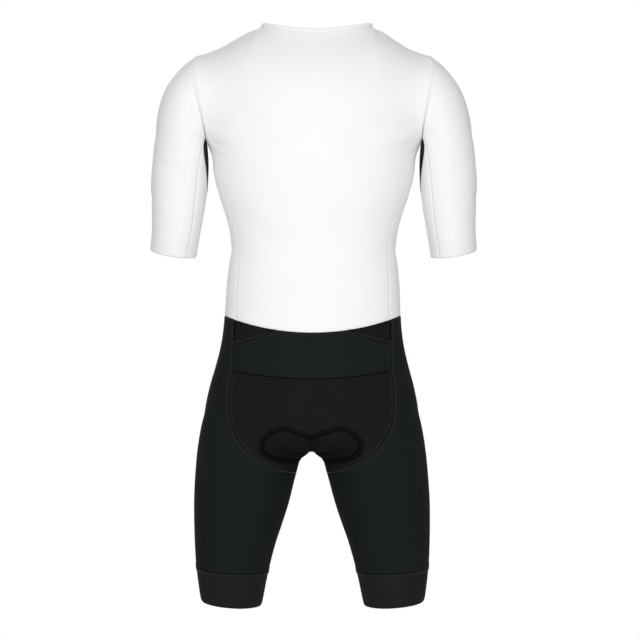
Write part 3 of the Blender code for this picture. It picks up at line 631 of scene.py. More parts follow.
class Patch:
    """Grid of points on the form with seams at some of its sides."""

    def __init__(self, points: Array, core: Sequence[float], seams: str = "tblr", groove: float = 0.0006,
                 depth: float = 0.0, extra: Callable[[Array], Array] | None = None, seed: int = 1) -> None:
        """Work seams and folds into the form.

        Args:
            points: rows and columns of points.
            core: point that the outer face looks away from.
            seams: sides with a seam: t first row, b last row, l first column, r last column.
            groove: depth of the seams.
            depth: depth of the whole patch under the form.
            extra: further height at some points.
            seed: variation of the puckers.
        """
        across = np.gradient(points, axis=1)
        down = np.gradient(points, axis=0)
        normal = np.cross(down, across)
        size = np.linalg.norm(normal, axis=-1)
        weak = size < 1e-10
        normal = normal / np.maximum(size, 1e-12)[..., None]
        for r in range(len(points)):
            if weak[r].any():
                near = min(range(len(points)), key=lambda k: (weak[k].any(), abs(k - r)))
                normal[r][weak[r]] = normal[near][weak[r]]
        middle = points[len(points) // 2, points.shape[1] // 2]
        if normal[len(points) // 2, points.shape[1] // 2] @ (middle - np.array(core)) < 0:
            normal = -normal
            self.flipped = True
        else:
            self.flipped = False
        step_u = np.linalg.norm(np.diff(points, axis=1), axis=-1)
        step_v = np.linalg.norm(np.diff(points, axis=0), axis=-1)
        self.u = np.concatenate((np.zeros((len(points), 1)), np.cumsum(step_u, axis=1)), axis=1)
        self.v = np.concatenate((np.zeros((1, points.shape[1])), np.cumsum(step_v, axis=0)), axis=0)
        lift = np.zeros(points.shape[:2]) - depth
        far = np.full(points.shape[:2], 1.0)
        for side, distance, along in (("t", self.v, self.u), ("b", self.v[-1:] - self.v, self.u),
                                      ("l", self.u, self.v), ("r", self.u[:, -1:] - self.u, self.v)):
            if side in seams:
                far = np.minimum(far, distance)
                lift += 0.00022 * np.exp(-(distance / 0.007) ** 2) * noise(along, seed)
        lift -= groove * np.exp(-(far / 0.0013) ** 2)
        lift += groove * 0.30 * np.exp(-((far - 0.0040) / 0.0020) ** 2)
        for fold in FOLDS:
            lift += fold.lift(points, normal)
        middle_line = np.abs(points[..., 0]) < 0.0004
        normal[..., 0] = np.where(middle_line, 0.0, normal[..., 0])
        if extra is not None:
            lift += extra(points)
        self.points = points + normal * lift[..., None]
        self.normal = normal
        # Painted shade: this mask darkens the cloth's colour along the seam grooves, where shade falls in the
        # hollow.
        self.painted_shade = np.exp(-(far / 0.0011) ** 2)
        self.width = float(self.u[:, -1].max())
        self.length = float(self.v[-1].max())

    @property
    def area(self) -> float:
        """Area of the patch.

        Returns:
            Square metres.
        """
        p = self.points
        a = np.linalg.norm(np.cross(p[1:, 1:] - p[:-1, :-1], p[1:, :-1] - p[:-1, 1:]), axis=-1)
        return float(a.sum() / 2)

    def seam_line(self, side: str, inset: float) -> tuple[Array, Array]:
        """Line along a seam, at a distance from it.

        Args:
            side: t, b, l or r, as for the seams.
            inset: distance from the seam.

        Returns:
            Points of the line and the normals there.
        """
        p, n = self.points, self.normal
        if side in "lr":
            far = self.u if side == "l" else self.u[:, -1:] - self.u
        else:
            p, n = p.transpose(1, 0, 2), n.transpose(1, 0, 2)
            far = (self.v if side == "t" else self.v[-1:] - self.v).T
        line, up = [], []
        for row, normals, distance in zip(p, n, far):
            if distance.max() < inset * 1.5:
                continue
            order = np.argsort(distance)
            row, normals, distance = row[order], normals[order], distance[order]
            line.append([np.interp(inset, distance, row[:, k]) for k in range(3)])
            up.append([np.interp(inset, distance, normals[:, k]) for k in range(3)])
        return np.array(line), np.array(up)


class Mirrored(Patch):
    """Mirror image of a patch."""

    def __init__(self, patch: Patch) -> None:
        """Copy a patch to the other side.

        Args:
            patch: the patch on the left.
        """
        self.points = patch.points * (-1, 1, 1)
        self.normal = patch.normal * (-1, 1, 1)
        self.u, self.v, self.painted_shade = patch.u, patch.v, patch.painted_shade
        self.flipped = not patch.flipped
        self.width, self.length = patch.width, patch.length


def relax(points: Array, first: int, zip_edge: bool = False, times: int = 150) -> Array:
    """Even out the rows from one on, with the borders kept.

    Args:
        points: rows and columns of points.
        first: first row to even out.
        zip_edge: keep the strip along the first column too.
        times: how often.

    Returns:
        The points, evened out.
    """
    out = points.copy()
    fade = np.clip((np.arange(len(points)) - first + 8) / 8, 0, 1)[1:-1, None]
    if zip_edge:
        fade = fade * ease((points[1:-1, 1:-1, 0] - 0.020) / 0.030)
    flat = points[..., (0, 2)]
    middle = flat[1:-1, 1:-1]
    sides = [1 / np.maximum(np.linalg.norm(other - middle, axis=-1), 0.0004)
             for other in (flat[:-2, 1:-1], flat[2:, 1:-1], flat[1:-1, :-2], flat[1:-1, 2:])]
    total = sum(sides)
    y = out[..., 1]
    for _ in range(times):
        around = (y[:-2, 1:-1] * sides[0] + y[2:, 1:-1] * sides[1] + y[1:-1, :-2] * sides[2]
                  + y[1:-1, 2:] * sides[3]) / total
        y[1:-1, 1:-1] += (around - y[1:-1, 1:-1]) * 0.8 * fade
    return out


@dataclass
class Thread:
    """Lines of stitching still to be sewn, gathered per colour."""

    name: str
    lines: list[tuple[Array, Array]]

    def add(self, line: tuple[Array, Array], mirror: bool = False) -> None:
        """Add a line, with its mirror image if asked.

        Args:
            line: points and normals of the line.
            mirror: whether the other side has the line too.
        """
        points, normals = line
        if len(points) < 3:
            return
        self.lines.append((points, normals))
        if mirror:
            self.lines.append((points * (-1, 1, 1), normals * (-1, 1, 1)))


def make_object(name: str, mesh: bpy.types.Mesh) -> bpy.types.Object:
    """A mesh as an object in the scene, at the origin.

    Args:
        name: name of the object.
        mesh: its mesh.

    Returns:
        The object.
    """
    item = bpy.data.objects.new(name, mesh)
    bpy.context.scene.collection.objects.link(item)
    return item


def cloth(form: Form, name: str, node: str, patches: Sequence[Patch], material: bpy.types.Material,
          wall: float = 0.0011, mirror: bool = False, stretch: float = 1.06,
          cut: float | None = None, halves: int = 1, lengthwise: int = 1) -> bpy.types.Object:
    """A piece of cloth as a thin shell, parented to the frame in place of its CAD node.

    Args:
        form: the form, for its lean.
        name: name of the piece.
        node: CAD node that it stands for.
        patches: its patches, joined where their sides meet.
        material: its finish.
        wall: thickness.
        mirror: build the mirror image.
        stretch: how far the cloth is stretched against its cut, across; a third of that lengthwise.
        cut: length of the cut where the cloth is folded double, in metres.
        halves: how many patches lie side by side in the cut.
        lengthwise: how many patches follow each other in the cut.

    Returns:
        The object.
    """
    sign = (-1, 1, 1) if mirror else (1, 1, 1)
    verts: list[Array] = []
    faces: list[tuple[int, ...]] = []
    uvs: list[tuple[float, float]] = []
    painted_shade: list[Array] = []
    base = 0
    for patch in patches:
        rows, cols = patch.points.shape[:2]
        verts.append(form.lean(patch.points * sign).reshape(-1, 3))
        painted_shade.append(patch.painted_shade.ravel())
        index = np.arange(rows * cols).reshape(rows, cols) + base
        a, b, c, d = index[:-1, :-1], index[:-1, 1:], index[1:, 1:], index[1:, :-1]
        quads = np.stack((a, d, c, b) if not patch.flipped != mirror else (a, b, c, d), axis=-1).reshape(-1, 4)
        faces += [tuple(q) for q in quads.tolist()]
        flat = np.stack((patch.u - patch.u[:, -1:] / 2, patch.v), axis=-1).reshape(-1, 2)
        uvs += [tuple(flat[i - base]) for q in quads.tolist() for i in q]
        base += rows * cols
    mesh = bpy.data.meshes.new(name)
    mesh.from_pydata(np.concatenate(verts).tolist(), [], faces)
    layer = mesh.uv_layers.new(name="cut")
    layer.data.foreach_set("uv", np.array(uvs).ravel())
    mesh.polygons.foreach_set("use_smooth", [True] * len(mesh.polygons))
    # Per-point mask of painted shade, read by the material to darken the colour in the grooves.
    mesh.attributes.new("painted_shade", "FLOAT", "POINT").data.foreach_set("value", np.concatenate(painted_shade))
    item = make_object(name, mesh)
    weld = item.modifiers.new("Joined sides", "WELD")
    weld.merge_threshold = 0.00004
    wall_up = item.modifiers.new("Wall", "SOLIDIFY")
    wall_up.thickness, wall_up.offset, wall_up.use_quality_normals = wall, -1.0, True
    graph = bpy.context.evaluated_depsgraph_get()
    solid = bpy.data.meshes.new_from_object(item.evaluated_get(graph), preserve_all_data_layers=True,
                                            depsgraph=graph)
    item.modifiers.clear()
    item.data = solid
    solid.name = name
    solid.materials.clear()
    solid.materials.append(material)
    area = sum(patch.area for patch in patches) / stretch / (1 + (stretch - 1) / 3)
    width = halves * max(patch.width for patch in patches) / stretch
    length = max(patch.length for patch in patches) / (1 + (stretch - 1) / 3)
    if lengthwise > 1:
        length = sum(patch.length for patch in patches[:lengthwise]) / (1 + (stretch - 1) / 3)
    if cut is not None:
        length, area = cut, min(width * cut, area * cut / patches[0].length)
    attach(item, "root")
    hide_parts(node)
    LOG.info("%s: %d faces, cut %.3f x %.3f m, %.4f m2", name, len(solid.polygons), width, length, area)
    return item


# ---------------------------------------------------------------- finishes

class Nodes:
    """Short hand for building a node tree."""

    def __init__(self, tree: bpy.types.NodeTree) -> None:
        """Start from an empty tree."""
        self.tree = tree
        tree.nodes.clear()

    def add(self, kind: str, **values: object) -> bpy.types.Node:
        """Add a node and set its properties or inputs.

        Args:
            kind: node type.
            values: properties by name, or inputs by name with spaces written as underscores.

        Returns:
            The node.
        """
        node = self.tree.nodes.new(kind)
        for key, value in values.items():
            if hasattr(node, key):
                setattr(node, key, value)
            else:
                node.inputs[key.replace("_", " ")].default_value = value
        return node

    def link(self, start: bpy.types.NodeSocket, end: bpy.types.NodeSocket) -> None:
        """Join two sockets."""
        self.tree.links.new(start, end)

    def math(self, operation: str, first: object, second: object = 0.0) -> bpy.types.NodeSocket:
        """A Math node on sockets or numbers, as its output socket.

        Args:
            operation: what it works out.
            first: its first value.
            second: its second value.

        Returns:
            The output socket.
        """
        node = self.tree.nodes.new("ShaderNodeMath")
        node.operation = operation
        for socket, value in zip(node.inputs, (first, second)):
            if isinstance(value, bpy.types.NodeSocket):
                self.link(value, socket)
            else:
                socket.default_value = float(value)
        return node.outputs[0]


class KnitGroup:
    """Shared effect: loops of a fine knit, with slow unevenness of the cloth."""

    def __init__(self) -> None:
        """Build the group with its named sockets."""
        self.group = bpy.data.node_groups.new("Knit loops", "ShaderNodeTree")
        face = self.group.interface
        face.new_socket("Cut", in_out="INPUT", socket_type="NodeSocketVector")
        face.new_socket("Place", in_out="INPUT", socket_type="NodeSocketVector")
        face.new_socket("Loops per metre", in_out="INPUT", socket_type="NodeSocketFloat")
        face.new_socket("Mottle size", in_out="INPUT", socket_type="NodeSocketFloat")
        face.new_socket("Height", in_out="OUTPUT", socket_type="NodeSocketFloat")
        face.new_socket("Holes", in_out="OUTPUT", socket_type="NodeSocketFloat")
        face.new_socket("Mottle", in_out="OUTPUT", socket_type="NodeSocketFloat")
        n = Nodes(self.group)
        ins, outs = n.add("NodeGroupInput"), n.add("NodeGroupOutput")
        scale = n.add("ShaderNodeVectorMath", operation="SCALE")
        n.link(ins.outputs["Cut"], scale.inputs[0])
        n.link(ins.outputs["Loops per metre"], scale.inputs["Scale"])
        split = n.add("ShaderNodeSeparateXYZ")
        n.link(scale.outputs[0], split.inputs[0])
        wale = n.math("ABSOLUTE", n.math("SINE", n.math("MULTIPLY", split.outputs[0], math.pi)))
        slant = n.math("MULTIPLY", wale, 0.45)
        course = n.math("SINE", n.math("MULTIPLY", n.math("ADD", split.outputs[1], slant), 2 * math.pi))
        height = n.math("ADD", n.math("MULTIPLY", wale, 0.65), n.math("MULTIPLY", course, 0.22))
        n.link(height, outs.inputs["Height"])
        gap = n.math("SUBTRACT", 0.6, n.math("MULTIPLY", course, 0.4))
        holes = n.math("MULTIPLY", n.math("SUBTRACT", 1.0, wale), gap)
        n.link(holes, outs.inputs["Holes"])
        cloud = n.add("ShaderNodeTexNoise", Detail=3.0)
        n.link(ins.outputs["Place"], cloud.inputs["Vector"])
        n.link(ins.outputs["Mottle size"], cloud.inputs["Scale"])
        n.link(cloud.outputs["Fac"], outs.inputs["Mottle"])


@dataclass(frozen=True)
class KnitFinish:
    """One knitted cloth."""

    name: str
    slot: str
    colour: tuple[float, float, float]
    shade: tuple[float, float, float]
    roughness: float
    sheen: float = 0.15
    loops: float = 1900.0
    relief: float = 0.00006
    mottle: float = 26.0
    specular: float = 0.35
    # How strongly the painted shade darkens the colour along the seams and the pad outline.
    painted_shade_depth: float = 0.16

    def build(self, knit: KnitGroup) -> bpy.types.Material:
        """The material.

        Args:
            knit: the shared knit group.

        Returns:
            The material.
        """
        material = bpy.data.materials.new(self.name)
        material.use_nodes = True
        n = Nodes(material.node_tree)
        out = n.add("ShaderNodeOutputMaterial")
        shader = n.add("ShaderNodeBsdfPrincipled")
        shader.inputs["Sheen Weight"].default_value = self.sheen
        shader.inputs["Sheen Roughness"].default_value = 0.45
        shader.inputs["Specular IOR Level"].default_value = self.specular
        n.link(shader.outputs[0], out.inputs["Surface"])
        place = n.add("ShaderNodeTexCoord")
        cut = n.add("ShaderNodeUVMap", uv_map="cut")
        loops = n.add("ShaderNodeGroup", node_tree=knit.group)
        loops.inputs["Loops per metre"].default_value = self.loops
        loops.inputs["Mottle size"].default_value = self.mottle
        n.link(cut.outputs["UV"], loops.inputs["Cut"])
        n.link(place.outputs["Object"], loops.inputs["Place"])
        mix = n.add("ShaderNodeMix", data_type="RGBA")
        mix.inputs[6].default_value = (*self.colour, 1.0)
        mix.inputs[7].default_value = (*self.shade, 1.0)
        share = n.math("ADD", n.math("MULTIPLY", loops.outputs["Holes"], 0.45),
                       n.math("MULTIPLY", loops.outputs["Mottle"], 0.35))
        n.link(share, mix.inputs["Factor"])
        # Painted shade: the colour is mixed towards near-black along the seam grooves and the pad outline, using
        # the per-point shade mask.
        dark = n.add("ShaderNodeMix", data_type="RGBA")
        dark.inputs[7].default_value = (*(c * 0.12 for c in self.shade), 1.0)
        painted_shade_depth = n.add("ShaderNodeAttribute", attribute_name="painted_shade")
        n.link(mix.outputs[2], dark.inputs[6])
        n.link(n.math("MULTIPLY", painted_shade_depth.outputs["Fac"], self.painted_shade_depth), dark.inputs["Factor"])
        n.link(dark.outputs[2], shader.inputs["Base Color"])
        rough = n.math("ADD", self.roughness - 0.05, n.math("MULTIPLY", loops.outputs["Mottle"], 0.12))
        n.link(rough, shader.inputs["Roughness"])
        bump = n.add("ShaderNodeBump", Strength=0.6, Distance=self.relief)
        n.link(loops.outputs["Height"], bump.inputs["Height"])
        n.link(bump.outputs["Normal"], shader.inputs["Normal"])
        return material


@dataclass(frozen=True)
class ThreadFinish:
    """Sewing thread."""

    name: str
    colour: tuple[float, float, float]

    def build(self) -> bpy.types.Material:
        """The material, with the twist of the thread as a fine bump.

        Returns:
            The material.
        """
        material = bpy.data.materials.new(self.name)
        material.use_nodes = True
        n = Nodes(material.node_tree)
        out, shader = n.add("ShaderNodeOutputMaterial"), n.add("ShaderNodeBsdfPrincipled", Roughness=0.55)
        n.link(shader.outputs[0], out.inputs["Surface"])
        shader.inputs["Sheen Weight"].default_value = 0.2
        place = n.add("ShaderNodeTexCoord")
        twist = n.add("ShaderNodeTexNoise", Scale=2600.0)
        n.link(place.outputs["Object"], twist.inputs["Vector"])
        mix = n.add("ShaderNodeMix", data_type="RGBA")
        mix.inputs[6].default_value = (*self.colour, 1.0)
        mix.inputs[7].default_value = (*(c * 0.7 for c in self.colour), 1.0)
        n.link(twist.outputs["Fac"], mix.inputs["Factor"])
        n.link(mix.outputs[2], shader.inputs["Base Color"])
        bump = n.add("ShaderNodeBump", Strength=0.5, Distance=0.0001)
        n.link(twist.outputs["Fac"], bump.inputs["Height"])
        n.link(bump.outputs["Normal"], shader.inputs["Normal"])
        return material


@dataclass(frozen=True)
class MetalFinish:
    """Cast and plated zip metal."""

    name: str
    colour: tuple[float, float, float]

    def build(self) -> bpy.types.Material:
        """The material, a little uneven and dulled in patches.

        Returns:
            The material.
        """
        material = bpy.data.materials.new(self.name)
        material.use_nodes = True
        n = Nodes(material.node_tree)
        out, shader = n.add("ShaderNodeOutputMaterial"), n.add("ShaderNodeBsdfPrincipled", Metallic=1.0)
        n.link(shader.outputs[0], out.inputs["Surface"])
        place = n.add("ShaderNodeTexCoord")
        cloud = n.add("ShaderNodeTexNoise", Scale=420.0, Detail=4.0)
        n.link(place.outputs["Object"], cloud.inputs["Vector"])
        mix = n.add("ShaderNodeMix", data_type="RGBA")
        mix.inputs[6].default_value = (*self.colour, 1.0)
        mix.inputs[7].default_value = (*(c * 0.8 for c in self.colour), 1.0)
        n.link(cloud.outputs["Fac"], mix.inputs["Factor"])
        n.link(mix.outputs[2], shader.inputs["Base Color"])
        n.link(n.math("ADD", 0.22, n.math("MULTIPLY", cloud.outputs["Fac"], 0.22)), shader.inputs["Roughness"])
        bump = n.add("ShaderNodeBump", Strength=0.25, Distance=0.0001)
        n.link(cloud.outputs["Fac"], bump.inputs["Height"])
        n.link(bump.outputs["Normal"], shader.inputs["Normal"])
        return material


class Wardrobe:
    """All finishes of the suit."""

    def __init__(self) -> None:
        """Build each material once."""
        knit = KnitGroup()
        self.white = KnitFinish("White stretch knit", "white_knit", (0.87, 0.87, 0.875), (0.78, 0.78, 0.785),
                                0.62).build(knit)
        self.band = KnitFinish("White folded band", "white_knit", (0.86, 0.86, 0.865), (0.77, 0.77, 0.77),
                               0.66, loops=1500).build(knit)
        self.grey = KnitFinish("Pale grey knit", "grey_knit", (0.90, 0.90, 0.905), (0.80, 0.80, 0.805), 0.70,
                               sheen=0.1).build(knit)
        # This near-black finish is painted shade: a dark sheet laid on the inner face of each sleeve, where the
        # underarm lies in shade.
        self.mesh = KnitFinish("Underarm painted shade", "dark_mesh", (0.030, 0.030, 0.032), (0.006, 0.006, 0.007),
                               0.85, sheen=0.0, loops=900, relief=0.00012, specular=0.1).build(knit)
        self.black = KnitFinish("Black stretch knit", "black_knit", (0.0100, 0.0122, 0.0130),
                                (0.0064, 0.0082, 0.0089), 0.72, sheen=0.0, relief=0.00004, specular=0.05,
                                painted_shade_depth=0.75).build(knit)
        self.matte = KnitFinish("Matte black knit", "matte_black_knit", (0.0108, 0.0106, 0.0106),
                                (0.0074, 0.0073, 0.0073), 0.88, sheen=0.0, loops=1400, specular=0.04,
                                painted_shade_depth=0.92).build(knit)
        self.elastic = KnitFinish("Black elastic", "black_elastic", (0.0112, 0.0124, 0.0130),
                                  (0.0070, 0.0080, 0.0086), 0.78, sheen=0.0, loops=700, relief=0.00010,
                                  specular=0.09, painted_shade_depth=0.7).build(knit)
        self.foam = KnitFinish("Pad cloth", "pad_foam", (0.030, 0.031, 0.033), (0.018, 0.019, 0.020), 0.88,
                               sheen=0.05, loops=1000, relief=0.00010, specular=0.15).build(knit)
        self.tape = KnitFinish("Zip tape", "tape_white", (0.80, 0.80, 0.80), (0.66, 0.66, 0.66), 0.72,
                               loops=1100, relief=0.00010).build(knit)
        self.white_thread = ThreadFinish("White thread", (0.80, 0.80, 0.80)).build()
        self.black_thread = ThreadFinish("Black thread", (0.016, 0.018, 0.019)).build()
        self.metal = MetalFinish("Zip metal", (0.60, 0.60, 0.61)).build()


# ---------------------------------------------------------------- repeats along a line

class Repeat(Enum):
    """What is repeated along a line."""

    STITCH = "stitch"
    TOOTH = "tooth"


@dataclass(frozen=True)
class RepeatSizes:
    """Sizes of a repeated thing, in metres."""

    pitch: float
    long: float
    wide: float
    high: float
    shift: float = 0.0


class RepeatTree:
    """Geometry Nodes tree that sets small closed solids along lines that lie on the cloth."""

    def __init__(self, kind: Repeat, material: bpy.types.Material) -> None:
        """Build the tree.

        Args:
            kind: what is repeated.
            material: its finish.
        """
        self.tree = bpy.data.node_groups.new(f"Repeat {kind.value} {material.name}", "GeometryNodeTree")
        face = self.tree.interface
        face.new_socket("Lines", in_out="INPUT", socket_type="NodeSocketGeometry")
        self.ids: dict[str, str] = {}
        for name in ("Pitch", "Length", "Width", "Height"):
            self.ids[name] = face.new_socket(name, in_out="INPUT", socket_type="NodeSocketFloat").identifier
        face.new_socket("Solids", in_out="OUTPUT", socket_type="NodeSocketGeometry")
        n = Nodes(self.tree)
        ins, outs = n.add("NodeGroupInput"), n.add("NodeGroupOutput")
        curve = n.add("GeometryNodeMeshToCurve")
        n.link(ins.outputs["Lines"], curve.inputs["Mesh"])
        even = n.add("GeometryNodeResampleCurve", mode="LENGTH")
        n.link(curve.outputs[0], even.inputs["Curve"])
        n.link(ins.outputs["Pitch"], even.inputs["Length"])
        up = n.add("GeometryNodeInputNamedAttribute", data_type="FLOAT_VECTOR")
        up.inputs["Name"].default_value = "up"
        tangent = n.add("GeometryNodeInputTangent")
        first = n.add("FunctionNodeAlignRotationToVector", axis="X")
        n.link(tangent.outputs[0], first.inputs["Vector"])
        second = n.add("FunctionNodeAlignRotationToVector", axis="Z", pivot_axis="X")
        n.link(first.outputs[0], second.inputs["Rotation"])
        n.link(up.outputs["Attribute"], second.inputs["Vector"])
        if kind is Repeat.STITCH:
            solid = n.add("GeometryNodeMeshUVSphere", Segments=6, Rings=4, Radius=0.5)
        else:
            solid = n.add("GeometryNodeMeshCube")
        size = n.add("ShaderNodeCombineXYZ")
        for name, socket in (("Length", "X"), ("Width", "Y"), ("Height", "Z")):
            n.link(ins.outputs[name], size.inputs[socket])
        place = n.add("GeometryNodeInstanceOnPoints")
        n.link(even.outputs[0], place.inputs["Points"])
        n.link(solid.outputs["Mesh"], place.inputs["Instance"])
        n.link(second.outputs[0], place.inputs["Rotation"])
        n.link(size.outputs[0], place.inputs["Scale"])
        real = n.add("GeometryNodeRealizeInstances")
        n.link(place.outputs[0], real.inputs[0])
        dress = n.add("GeometryNodeSetMaterial")
        dress.inputs["Material"].default_value = material
        n.link(real.outputs[0], dress.inputs["Geometry"])
        n.link(dress.outputs[0], outs.inputs[0])

    def run(self, form: Form, name: str, lines: Sequence[tuple[Array, Array]],
            sizes: RepeatSizes) -> bpy.types.Object:
        """Make the repeats as one plain mesh.

        Args:
            form: the form, for its lean.
            name: name of the piece.
            lines: lines of points with their normals.
            sizes: sizes of each solid.

        Returns:
            The object.
        """
        verts, ups, edges = [], [], []
        for points, normals in lines:
            base = len(verts)
            side = np.cross(np.gradient(points, axis=0), normals)
            side /= np.maximum(np.linalg.norm(side, axis=-1), 1e-9)[..., None]
            moved = form.lean(points + side * sizes.shift)
            verts += (moved + normals * sizes.high * 0.18).tolist()
            ups += normals.tolist()
            edges += [(base + i, base + i + 1) for i in range(len(points) - 1)]
        mesh = bpy.data.meshes.new(name)
        mesh.from_pydata(verts, edges, [])
        up = mesh.attributes.new("up", "FLOAT_VECTOR", "POINT")
        up.data.foreach_set("vector", np.array(ups, float).ravel())
        item = make_object(name, mesh)
        modifier = item.modifiers.new("Repeats", "NODES")
        modifier.node_group = self.tree
        for key, value in (("Pitch", sizes.pitch), ("Length", sizes.long), ("Width", sizes.wide),
                           ("Height", sizes.high)):
            modifier[self.ids[key]] = value
        graph = bpy.context.evaluated_depsgraph_get()
        solid = bpy.data.meshes.new_from_object(item.evaluated_get(graph), depsgraph=graph)
        item.modifiers.clear()
        item.data = solid
        solid.name = name
        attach(item, "root")
        LOG.info("%s: %d faces", name, len(solid.polygons))
        return item


# ---------------------------------------------------------------- upper half

@dataclass
class Upper:
    """Trunk panels, neck band and sleeves."""

    form: Form
    finishes: Wardrobe
    white: Thread
    column_step: float = 0.0045
    row_step: float = 0.0045
    band_wall: float = 0.0018
    band_rise: float = 0.0055
    band_lap: float = 0.0014
    tape_half: float = 0.0130
    tape_depth: float = 0.0017
    tape_wall: float = 0.0009
    stitch_lines: tuple[float, float] = (0.0022, 0.0048)
    folded_cut: float = 0.0102

    def trunk_rows(self) -> tuple[Array, Array]:
        """Shares of the rows below and above the underarm.

        Returns:
            Shares below and above.
        """
        low = stations(0.285, self.row_step, low=True, high=False)
        high = stations(0.160, self.row_step * 0.9, low=False, high=True)[1:]
        return low, np.arccos(1 - 2 * high) / math.pi

    def back(self) -> None:
        """One back panel from the waist seam to the neck and shoulders."""
        f = self.form
        u = stations(0.19, self.column_step, low=False)
        low, high = self.trunk_rows()
        angle = f.side_seam(low)[:, None] * u[None, :]
        half = np.concatenate((f.wrap(low[:, None], angle), f.yoke(u[None, :], high[:, None], 1)))
        points = np.concatenate((half[:, :0:-1] * (-1, 1, 1), half), axis=1)
        patch = Patch(relax(points, len(low)), (0, 0, -0.3), seed=3)
        cloth(f, "back_panel_cloth", "back_panel", [patch], self.finishes.white)
        for side in "lrt":
            for inset in self.stitch_lines:
                self.white.add(patch.seam_line(side, inset))

    def fronts(self) -> None:
        """The two front panels on either side of the zip."""
        f = self.form
        start = f.zip_half / (f.neck_half * math.pi)
        u = start + (1 - start) * stations(0.19, self.column_step)
        low, high = self.trunk_rows()
        far = math.pi - f.side_seam(low, front=True)
        points = np.concatenate((f.wrap(low[:, None], math.pi - far[:, None] * u[None, :]),
                                 f.yoke(u[None, :], high[:, None], -1)))
        patch = Patch(relax(points, len(low), zip_edge=True), (0, 0, -0.3), seed=5)
        for side, mirror in (("left", False), ("right", True)):
            cloth(f, f"front_{side}_cloth", f"front_{side}", [patch], self.finishes.white,
                  mirror=mirror)
        for inset in self.stitch_lines:
            self.white.add(patch.seam_line("l", inset), mirror=True)
            self.white.add(patch.seam_line("r", inset), mirror=True)

    def sides(self) -> None:
        """Side panels from the waist to the underarm."""
        f = self.form
        low = stations(0.285, self.row_step)
        u = stations(0.11, self.column_step)
        start, end = f.side_seam(low)[:, None], f.side_seam(low, front=True)[:, None]
        patch = Patch(f.wrap(low[:, None], start + (end - start) * u[None, :]), (0, 0, -0.3), seed=7)
        for side, mirror in (("left", False), ("right", True)):
            cloth(f, f"side_{side}_cloth", f"side_{side}", [patch], self.finishes.grey,
                  mirror=mirror)
        for inset in self.stitch_lines:
            self.white.add(patch.seam_line("l", inset), mirror=True)
            self.white.add(patch.seam_line("r", inset), mirror=True)

    def band(self) -> None:
        """Folded band round the neck, from one side of the zip to the other."""
        f = self.form
        gap = f.zip_half / f.neck_half
        turn = np.linspace(-math.pi + gap, math.pi - gap, 200)
        rise = np.array((0.0, 0.03, 0.08, 0.2, 0.35, 0.5, 0.65, 0.8, 0.92, 0.98, 1.0))
        points = f.neckline(turn[None, :], rise[:, None] * (self.band_rise + self.band_lap) - self.band_lap)
        bulge = 0.0013 * np.sqrt(np.clip(1 - (2 * rise - 1) ** 4, 0, 1))
        patch = Patch(points, (0, 0, -0.05), seams="", seed=2,
                      extra=lambda p: np.broadcast_to(bulge[:, None], p.shape[:2]))
        cloth(f, "neck_band", "neck_binding", [patch], self.finishes.band, wall=self.band_wall,
              stretch=1.1, cut=self.folded_cut)
        self.white.add(patch.seam_line("t", 0.0012))

    def tape(self) -> None:
        """Zip tape behind the front edges."""
        f = self.form
        low, high = self.trunk_rows()
        half = self.tape_half / f.trunk_rows(f.pit_z)[0]
        u = np.linspace(-1, 1, 9)
        below = f.wrap(low[:, None], math.pi - half * u[None, :])
        reach = self.tape_half / (f.neck_half * math.pi)
        right = f.yoke(np.abs(u)[None, :] * reach, high[:, None], -1)
        right[..., 0] *= np.sign(u)[None, :]
        patch = Patch(np.concatenate((below, right)), (0, 0, -0.3), seams="lr", depth=self.tape_depth, seed=4)
        cloth(f, "zip_tape_cloth", "zip_tape", [patch], self.finishes.tape, wall=self.tape_wall,
              stretch=1.0)
        middle = patch.points[:, 4], patch.normal[:, 4]
        teeth = RepeatTree(Repeat.TOOTH, self.finishes.metal)
        lines = [(middle[0] + middle[1] * 0.0006, middle[1])]
        item = teeth.run(f, "zip_teeth", lines,
                         RepeatSizes(pitch=0.0017, long=0.0009, wide=0.0042, high=0.0013))

    def sleeves(self) -> None:
        """Sleeves with the panel and the wedge under each arm; the wedge is a dark piece of painted shade where
        the inner face of the sleeve lies in shade.
        """
        f = self.form
        s = stations(0.34, self.row_step)
        seam = np.radians(f.undersleeve(s))
        edge = np.radians(np.where(s < 0.68, f.wedge(s), 180.0))
        u = stations(0.36, self.column_step)
        outer = Patch(f.sleeve(s[:, None], seam[:, None] * (2 * u[None, :] - 1)), (0.19, 0, -0.25), seed=9)
        w = stations(0.05, 0.003)
        back_turn = seam[:, None] + (edge - seam)[:, None] * w[None, :]
        near = Patch(f.sleeve(s[:, None], back_turn), (0.24, 0, -0.25), seams="tbl", seed=10)
        far = Patch(f.sleeve(s[:, None], 2 * math.pi - back_turn), (0.24, 0, -0.25), seams="tbl", seed=11)
        sw = 0.68 * stations(0.09, 0.003)
        edge_w = np.radians(np.minimum(f.wedge(sw), 180.0))[:, None]
        mid_turn = edge_w + (2 * math.pi - 2 * edge_w) * w[None, :]
        mid = Patch(f.sleeve(sw[:, None], mid_turn), (0.24, 0, -0.22), seed=12)
        for side, mirror in (("left", False), ("right", True)):
            cloth(f, f"sleeve_{side}_cloth", f"sleeve_{side}", [outer], self.finishes.white,
                  mirror=mirror)
            cloth(f, f"undersleeve_{side}_cloth", f"undersleeve_{side}", [near, far], self.finishes.grey,
                  mirror=mirror, halves=2)
            # The gusset piece is painted shade: a dark sheet on the inner face of the sleeve, where the underarm
            # lies in shade.
            cloth(f, f"gusset_{side}_cloth", f"gusset_{side}", [mid], self.finishes.mesh,
                  mirror=mirror)
        for side in "lr":
            for inset in self.stitch_lines:
                self.white.add(outer.seam_line(side, inset), mirror=True)
        self.white.add(outer.seam_line("t", 0.0025), mirror=True)

    def build(self) -> None:
        """Make every piece of the upper half."""
        self.back()
        self.fronts()
        self.sides()
        self.band()
        self.tape()
        self.sleeves()


# ---------------------------------------------------------------- lower half

